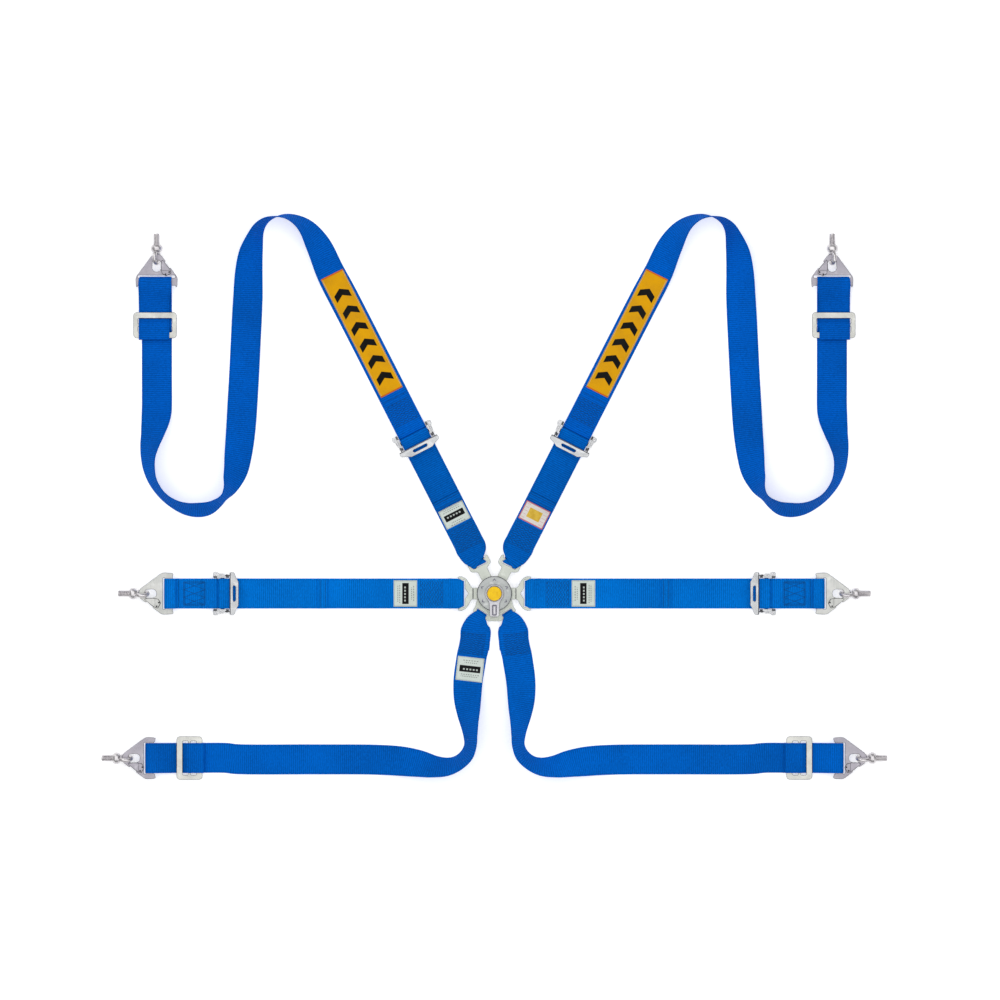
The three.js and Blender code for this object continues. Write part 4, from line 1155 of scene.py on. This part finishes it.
def eyebolt():
    ring = torus(EYE_R, EYE_WIRE_R).turned(90, "X").moved(5.5, 0, EYE_Z)
    pitch, start, end = 1.6, 15.6, 32.6
    steps, sides = 96, 40
    points = []
    for i in range(steps + 1):
        x = start + (end - start) * i / steps
        for k in range(sides):
            a = 2 * math.pi * k / sides
            phase = (x / pitch - k / sides) % 1.0
            depth = 0.75 * abs(2 * phase - 1) * min(1.0, (end - x) / 1.0 + 0.2, (x - start) / 1.2 + 0.3)
            r = 5.55 - depth
            points.append((r * math.cos(a), r * math.sin(a), -x))
    ends = [tuple(range(sides)), tuple(steps * sides + k for k in range(sides))[::-1]]
    thread = Shape(points, skin(steps, sides) + ends)
    tip = lathe([(0, -32.0), (4.9, -32.0), (5.0, -33.0), (4.4, -34.0), (0, -34.0)], 40)
    neck = lathe(soft_profile([(0, -2.6), (4.6, -2.6), (7.8, -3.8), (9.7, -6.8), (10.0, -9.2), (9.7, -11.8),
                               (7.8, -14.8),
                               (5.6, -15.8), (0, -15.8)], 1.6, 4), 56)
    ring = ring.moved(z=-EYE_Z).turned(RING_LEAN, "X").moved(z=EYE_Z)
    return ring + (thread + tip + neck).turned(90, "Y").moved(z=EYE_Z)


ENDS = {"shoulder": (SHOULDER_END, -90, ZINC, "zinc_plate", True),
        "lap": (LAP_END, 0, SATIN, "satin_plate", False),
        "crotch": (CROTCH_END, 0, ZINC, "zinc_plate", False)}
bolt = eyebolt()
for belt, (point, angle, material, slot, other_hand) in ENDS.items():
    place = station(*point, angle)
    hook = hook_plate(HOOKS[belt])
    leaf, leaf_rim_shadow = gate_pieces(False)
    heel, heel_rim_shadow = gate_pieces(True)
    rivets = gate_rivets()
    if other_hand:
        hook, leaf, leaf_rim_shadow = hook.across(), leaf.across(), leaf_rim_shadow.across()
        heel, heel_rim_shadow, rivets = heel.across(), heel_rim_shadow.across(), rivets.across()
    both(f"{belt}_hook_plate_{{}}", hook.by(place), material, f"{belt}_hook_{{}}",
         [f"{belt}_hook_{{}}"], edge=EDGE_SHADE)
    both(f"{belt}_gate_leaf_{{}}", leaf.by(place), material, f"{belt}_gate_{{}}",
         [f"{belt}_gate_{{}}"], edge=EDGE_SHADE)
    # The leaf's dark rim is painted shadow round the leaf.
    both(f"{belt}_gate_leaf_rim_shadow_{{}}", leaf_rim_shadow.by(place), RIM_SHADOW_AND_RIVETS, f"{belt}_gate_{{}}")
    both(f"{belt}_gate_heel_{{}}", heel.by(place), material, f"{belt}_hook_{{}}", edge=EDGE_SHADE)
    # The heel's dark rim is painted shadow round it; the rivet heads share its dark material.
    both(f"{belt}_gate_rivets_{{}}", (heel_rim_shadow + rivets).by(place), RIM_SHADOW_AND_RIVETS, f"{belt}_hook_{{}}")
    both(f"{belt}_bolt_{{}}", bolt.by(place), BOLT, f"{belt}_eyebolt_{{}}",
         [f"{belt}_eyebolt_{{}}"])


def three_bar_slide():
    outer = rounded(box_outline(-21.5, 21.5, -36, 36), 5.5, 8)
    windows = [rounded(box_outline(2, 11.5, -28.4, 28.4), 2), rounded(box_outline(-11.5, -2, -28.4, 28.4), 2)]
    return plate(outer, 5.4, 7.9, 0.9, windows, 3)


for belt in ("shoulder", "crotch"):
    place = station(*ENDS[belt][0], ENDS[belt][1])
    both(f"{belt}_slide_frame_{{}}",
         three_bar_slide().moved(HOOKS[belt].slide, HOOKS[belt].slide_shift).by(place), SLIDE,
         f"{belt}_belt_{{}}", [f"{belt}_slide_{{}}"], edge=EDGE_SHADE)


# ---- adjusters -----------------------------------------------------------------------------------------
CHEEK = (26.2, 29.0)
LEVER_X, LEVER_Z = -7.2, 6.2


def upright(outline, y0, y1, bevel=0.4, holes=()):
    """Plate standing in the plane of the belt, between two distances across it."""
    return plate(outline, 0, y1 - y0, bevel, holes).turned(90, "X").moved(y=y1)


def adjuster_frame():
    side = rounded([(-11, 2), (15.5, 2), (15.5, 9), (9, 13.5), (-6, 13.5), (-11, 9.5)],
                   [1.5, 1.5, 2.5, 3, 3, 2.5])
    grip_hole, pivot_hole = circle(2.7, 0, GRIP_Z, 24), circle(1.9, LEVER_X, LEVER_Z, 20)
    total = upright(side, CHEEK[0], CHEEK[1], 0.4, [grip_hole, pivot_hole])
    lip = rounded([(-3.2, 27.2), (15.5, 27.2), (15.5, 36), (9, 36), (6, 33), (-3.2, 33)],
                  [0.8, 0.8, 2, 2.5, 2, 2])
    cutouts = [rounded(box_outline(9.8, 12.0, 30.0, 33.8), 0.9),
               rounded(box_outline(0.2, 4.6, 30.2, 31.6), 0.6)]
    total = total + plate(lip, 6, 8.6, 0.5, cutouts)
    total = total + total.across()
    rear = rounded([(REAR_BAR_X - REAR_BAR[0], REAR_BAR_Z - REAR_BAR[1]),
                    (REAR_BAR_X + REAR_BAR[0], REAR_BAR_Z - REAR_BAR[1]),
                    (REAR_BAR_X + REAR_BAR[0], REAR_BAR_Z + REAR_BAR[1]),
                    (REAR_BAR_X - REAR_BAR[0], REAR_BAR_Z + REAR_BAR[1])],
                   0.9)
    return total + upright(rear, -27, 27, 0.2)


def grip_bar():
    sides, steps = 48, 96
    points = []
    profile = [(-28.8, 0.0), (-28.8, 2.1), (-28.5, 2.4), (-25.8, 2.4), (-25.8, 3.2), (-25.4, GRIP_R)]
    profile += [(-25.2 + 50.4 * i / steps, GRIP_R) for i in range(1, steps)]
    profile += [(-y, r) for y, r in profile[5::-1]]
    for y, r in profile:
        for k in range(sides):
            a = 2 * math.pi * k / sides
            knurl = 0.12 * (math.sin(12 * a + y * 1.9) + math.sin(12 * a - y * 1.9)) if abs(y) < 25.0 else 0.0
            size = r - 0.2 * (abs(y) < 25) + knurl
            points.append((size * math.cos(a), y, size * math.sin(a)))
    return Shape(points, skin(len(profile) - 1, sides)).moved(z=GRIP_Z)


def adjuster_lever():
    """Pressed lever plate with its slot, folded arms and pivot pegs."""
    lift, drop = 12.6, 3.4
    slope = math.degrees(math.atan2(drop, 13.0))
    outline = rounded([(0, -35.8), (6.4, -35.8), (9.6, -27.0), (14.2, -19.5), (14.2, 19.5), (9.6, 27.0),
                       (6.4, 35.8), (0, 35.8)],
                      [2, 3, 4, 4, 4, 4, 3, 2])
    slot = rounded([(5.8, -14), (9.6, -11.5), (9.6, 11.5), (5.8, 14), (4.6, 11), (4.6, -11)], 1.2)
    sheet = plate(outline, -0.95, 0.95, 0.5, [slot]).turned(-slope, "Y").turned(180).moved(-13.2, 0, lift)
    hump = upright(rounded([(-17.2, 13.6), (-16.6, 11.2), (-12.4, 11.9), (-12.1, 13.6), (-14, 14.4)], 0.7),
                   -35.0, 35.0, 0.4)
    arm = rounded([(-17, 13.4), (-12.4, 13.8), (-4.4, 8.5), (-4.4, 4), (-9.5, 4), (-16.5, 11.5)],
                  [1, 1.5, 2, 2, 2, 1.5])
    arms = upright(arm, CHEEK[1] + 0.3, CHEEK[1] + 2.3, 0.35)
    peg = bar((LEVER_X, 26.6, LEVER_Z), (LEVER_X, 31.8, LEVER_Z), 1.5, 20, 0.3)
    pair = arms + peg
    return sheet + hump + pair + pair.across()


frame_piece, grip_piece, lever_piece = adjuster_frame(), grip_bar(), adjuster_lever()
for belt, distance, angle in (("shoulder", ADJUSTER_SHOULDER, 90 + SHOULDER_ANGLE),
                              ("lap", ADJUSTER_LAP, 180)):
    a = math.radians(angle)
    place = station(distance * math.cos(a), distance * math.sin(a), angle)
    both(f"{belt}_adjuster_body_{{}}", frame_piece.by(place), NICKEL, f"{belt}_belt_{{}}",
         [f"{belt}_adjuster_frame_{{}}"], edge=EDGE_SHADE)
    both(f"{belt}_knurled_bar_{{}}", grip_piece.by(place), STEEL, f"{belt}_belt_{{}}",
         [f"{belt}_grip_bar_{{}}"])
    both(f"{belt}_tilt_lever_{{}}", lever_piece.by(place), NICKEL, f"{belt}_adjuster_lever_{{}}",
         [f"{belt}_adjuster_lever_{{}}"], edge=EDGE_SHADE)


# ---- tongues -------------------------------------------------------------------------------------------
def tongue(neck, outline, slot_at, bar_half, radii, notch=()):
    fork = 3.3
    upper = [(28, neck), *outline]
    shape = [(x, -y) for x, y in upper[::-1]] + [(24, -6), (14.8, -6), (14.8, -fork), (23.5, -fork),
                                                 (23.5, fork),
                                                  (14.8, fork), (14.8, 6), (24, 6)] + upper
    all_radii = radii[::-1] + [2] + [1.5, 0.8, 0.8, 3.0, 3.0, 0.8, 0.8, 1.5] + [2] + radii
    slot = rounded([*box_outline(slot_at, slot_at + 4, -bar_half, bar_half), *notch], 1.1)
    return plate(rounded(shape, all_radii), TONGUE_Z, TONGUE_Z + TONGUE_T, 0.7, [slot], 3)


shoulder_tongue = tongue(8.7,
                         [(44.5, 8.7), (48, 17), (51, 19), (62, 18.7), (64.5, 17), (64.5, 14.5),
                          (60.5, 13.4)],
                         51.5, 12.6, [3.5, 3, 2.5, 2, 2, 1.5, 1.5])
lap_tongue = tongue(9.6,
                    [(36.5, 9.6), (39.5, 12), (43, 19), (47.5, 25.2), (54, 28.6), (60.5, 28.4), (61.4, 25.6),
                     (58.4, 24.2)],
                    49.2, 22.6, [2, 4, 6, 6, 5, 1.6, 1, 1], [(49.2, 9), (43.4, 0), (49.2, -9)])
ridge = bar((35.6, -8.4, TONGUE_Z + TONGUE_T - 0.35), (35.6, 8.4, TONGUE_Z + TONGUE_T - 0.35), 1.3, 20, 0.8)
both("shoulder_tongue_plate_{}", shoulder_tongue.turned(90 + SHOULDER_ANGLE), TONGUE, "shoulder_belt_{}",
     ["shoulder_tongue_{}"], edge=EDGE_SHADE)
both("lap_tongue_plate_{}", (lap_tongue + ridge).turned(180), TONGUE, "lap_belt_{}",
     ["lap_tongue_{}"], edge=EDGE_SHADE)

# ---- buckle --------------------------------------------------------------------------------------------
FLANGE_Z, FLANGE_T = 4.15, 2.5
BODY_Z, BODY_TOP, COVER_TOP = 6.95, 20.0, 23.0
LEVER_BOTTOM, LEVER_TOP = 23.3, 27.9
DISC_R, HUB_R, LEVER_LENGTH, LEVER_HALF, CAP_R = 28.6, 15.5, 38.5, 8.5, 11.8


def back_plate():
    reach = CROTCH_BAR_D + 3
    edge = Vector((-slot_way.y, slot_way.x))

    def at(d, e):
        place = slot_way * d + edge * e
        return place.x, place.y

    side = [(-27.5, -5), at(reach - 8, -14.5), at(reach - 1.5, -14.5), at(reach, -12.5), at(reach, 12.5),
            (-12, -44.5),
            (-10.5, -46)]
    top = [(27.5, 5), (24, 14), (14, 24), (0, 27.5), (-14, 24), (-24, 14), (-27.5, 5)]
    outline = side + [(-x, y) for x, y in side[::-1]] + top
    radii = [6, 5, 4, 3, 3, 2, 2] + [2, 2, 3, 3, 4, 5, 6] + [9] * 7
    half = 10.4
    slot = [at(CROTCH_BAR_D - 6, -half), at(CROTCH_BAR_D - 3, -half), at(CROTCH_BAR_D - 3, half),
            at(CROTCH_BAR_D - 6, half)]
    slots = [rounded(slot, 1.1), rounded([(-x, y) for x, y in slot][::-1], 1.1)]
    flange = plate(rounded(outline, radii), FLANGE_Z, FLANGE_Z + FLANGE_T, 0.6, slots, 3)
    base = lathe(soft_profile([(0, 0), (26.5, 0), (26.5, FLANGE_Z + 1), (0, FLANGE_Z + 1)], 0.8), 96)
    tab = plate(rounded(box_outline(-6.5, 6.5, -44.2, -40.4), 1.2), FLANGE_Z + FLANGE_T - 0.3,
                FLANGE_Z + FLANGE_T + 0.45, 0.3)
    return flange + base + tab


def buckle_body():
    shell = lathe(soft_profile([(DISC_R, BODY_Z), (DISC_R, BODY_TOP), (25, BODY_TOP), (25, BODY_Z + 2),
                                (3.2, BODY_Z + 2),
                                (3.2, BODY_Z)], 0.5), 128)
    tools = []
    for angle, half in ((0, 10.0), (90 - SHOULDER_ANGLE, 9.1), (90 + SHOULDER_ANGLE, 9.1), (180, 10.0)):
        opening = rounded([(-half, TONGUE_Z - 0.3), (half, TONGUE_Z - 0.3), (half, TONGUE_Z + TONGUE_T + 0.3),
                           (-half, TONGUE_Z + TONGUE_T + 0.3)], 1.2)
        tools.append(plate(opening, 20, 33, 0.01,
                           resolution=0).by(Matrix(((0, 0, 1, 0), (1, 0, 0, 0), (0, 1, 0, 0), (0, 0, 0, 1))))
                     .turned(angle))
    return cut(shell, *tools)


# Open arrow mark that points away from the centre, and where the marks stand round the cover.
MARK = [(-3.0, -1.4), (0, 1.9), (3.0, -1.4), (2.0, -2.4), (0, -0.3), (-2.0, -2.4)]
MARK_ANGLES = (90, 27, 153, -34, 214)


def chevron(radius, angle):
    mark = plate(rounded(MARK, 0.25, 2), COVER_TOP - 0.7, COVER_TOP + 1, 0.02, resolution=0)
    return mark.moved(0, radius, 0).turned(angle - 90)


def arc_groove(radius, start, end, width=0.5, depth=0.4):
    steps = 24
    outer = [(radius + width, start + (end - start) * i / steps) for i in range(steps + 1)]
    inner = [(radius - width, a) for _, a in outer[::-1]]
    ring = [(r * math.cos(math.radians(a)), r * math.sin(math.radians(a))) for r, a in outer + inner]
    return plate(ring, COVER_TOP - depth, COVER_TOP + 1, 0.02, resolution=0)


def buckle_cover():
    profile = [(9.2, BODY_TOP + 0.3), (27.8, BODY_TOP + 0.3), (DISC_R + 0.5, BODY_TOP + 1),
               (DISC_R + 0.5, COVER_TOP - 1.0),
               (DISC_R - 0.7, COVER_TOP), (9.2, COVER_TOP)]
    ring = lathe(rounded(profile, [0.4, 0.4, 0.5, 0.9, 0.9, 0.4], 4), 160)
    marks = [chevron(23.4, a) for a in MARK_ANGLES]
    grooves = [arc_groove(20.6, a, b) for a, b in ((36, 80), (100, 144), (162, 204), (-24, 18))]
    rim = [arc_groove(26.6, a + 1, a + 119, 0.4, 0.4) for a in (0, 120, 240)]
    return cut(ring, *marks, *grooves, *rim)


def release_lever():
    outline = [(HUB_R * math.cos(math.radians(a)), HUB_R * math.sin(math.radians(a))) for a in range(-42,
                                                                                                     223, 6)]
    outline += [(-LEVER_HALF - 0.6, -14.2), (-LEVER_HALF, -18)]
    outline += rounded([(-LEVER_HALF, -LEVER_LENGTH), (LEVER_HALF, -LEVER_LENGTH), (0, 10)],
                       [3.2, 3.2, 0])[:12]
    outline += [(LEVER_HALF, -18), (LEVER_HALF + 0.6, -14.2)]
    low, high = -LEVER_LENGTH + 2.5, -LEVER_LENGTH + 19.5
    floor_z = LEVER_TOP - 2.0
    recess = rounded(box_outline(-3.5, 3.5, low, high), 1.4)
    base = plate(outline, LEVER_BOTTOM, floor_z + 0.6, 0.5)
    upper = plate(outline, LEVER_BOTTOM + 0.8, LEVER_TOP, 0.75, [recess, circle(CAP_R + 0.3, steps=64)], 3)
    shaft = lathe([(0, 17.6), (8.6, 17.6), (8.6, LEVER_BOTTOM + 1), (0, LEVER_BOTTOM + 1)], 64)
    rise = plate(rounded(box_outline(-1.7, 1.7, low + 2.4, high - 2.2), 0.9), floor_z, LEVER_TOP - 0.55, 0.4)
    lip = torus(13.3, 0.75, 96, 12).moved(z=LEVER_TOP - 0.25)
    return base + upper + shaft + rise + lip


# Dark sheet in the bottom of the lever's recess: painted shade.
def recess_shade_sheet():
    low, high = -LEVER_LENGTH + 2.5, -LEVER_LENGTH + 19.5
    outer = rounded(box_outline(-3.45, 3.45, low + 0.05, high - 0.05), 1.4)
    inner = rounded(box_outline(-2.2, 2.2, low + 1.6, high - 1.5), 1.0)
    return plate(outer, LEVER_TOP - 1.6, LEVER_TOP - 0.35, 0.15, [inner])


def centre_cap():
    return lathe(soft_profile([(0, LEVER_TOP - 0.9), (CAP_R, LEVER_TOP - 0.9), (CAP_R, LEVER_TOP - 0.2),
                               (CAP_R - 1.0, LEVER_TOP + 0.2),
                               (CAP_R - 1.8, LEVER_TOP + 0.05), (CAP_R - 4, LEVER_TOP + 0.2),
                               (0, LEVER_TOP + 0.3)], 0.4, 4), 96)


make("buckle_base", back_plate(), TONGUE, "buckle", ["buckle_back_plate"], edge=EDGE_SHADE)
make("buckle_housing", buckle_body(), ALLOY, "buckle", ["buckle_body"])
make("buckle_top_ring", buckle_cover(), ALLOY, "buckle", ["buckle_cover"], edge=EDGE_SHADE)
make("turn_lever", release_lever(), LEVER, "lever", ["release_lever"], edge=EDGE_SHADE)
# Dark plates in the bottoms of the cut arrow marks: painted shade in the recesses.
marks = joined([plate(rounded(MARK, 0.25, 2), COVER_TOP - 0.75, COVER_TOP - 0.35, 0.05)
                .moved(0, 23.4).turned(a - 90) for a in MARK_ANGLES])
make("cover_mark_shade", marks, RECESS_SHADE, "buckle")
make("turn_lever_lining", recess_shade_sheet(), RECESS_SHADE, "lever")
make("yellow_disc", centre_cap(), CAP, "lever", ["centre_cap"])

INNER_PARTS = ["centre_post", "lever_return_spring", "cam_rotor"]
INNER_PARTS += [f"latch_pin_{belt}_{side}" for belt in ("shoulder", "lap") for side in ("left", "right")]
for name in INNER_PARTS:
    part = bpy.data.objects.get(name)
    if part is None:
        continue
    if not part.material_slots:
        part.data.materials.append(STEEL)
    for material_slot in part.material_slots:
        material_slot.material = STEEL

# ---- floor ---------------------------------------------------------------------------------------------
FLOOR_REACH, FLOOR_DROP = 9, 0.0006  # metres
floor_mesh = bpy.data.meshes.new("floor")
floor_corners = [(x, y, -FLOOR_DROP) for x,
                 y in box_outline(-FLOOR_REACH, FLOOR_REACH, -FLOOR_REACH, FLOOR_REACH)]
floor_mesh.from_pydata(floor_corners, [], [(0, 1, 2, 3)])
floor_mesh.materials.append(floor_material())
floor = bpy.data.objects.new("floor", floor_mesh)
bpy.context.collection.objects.link(floor)
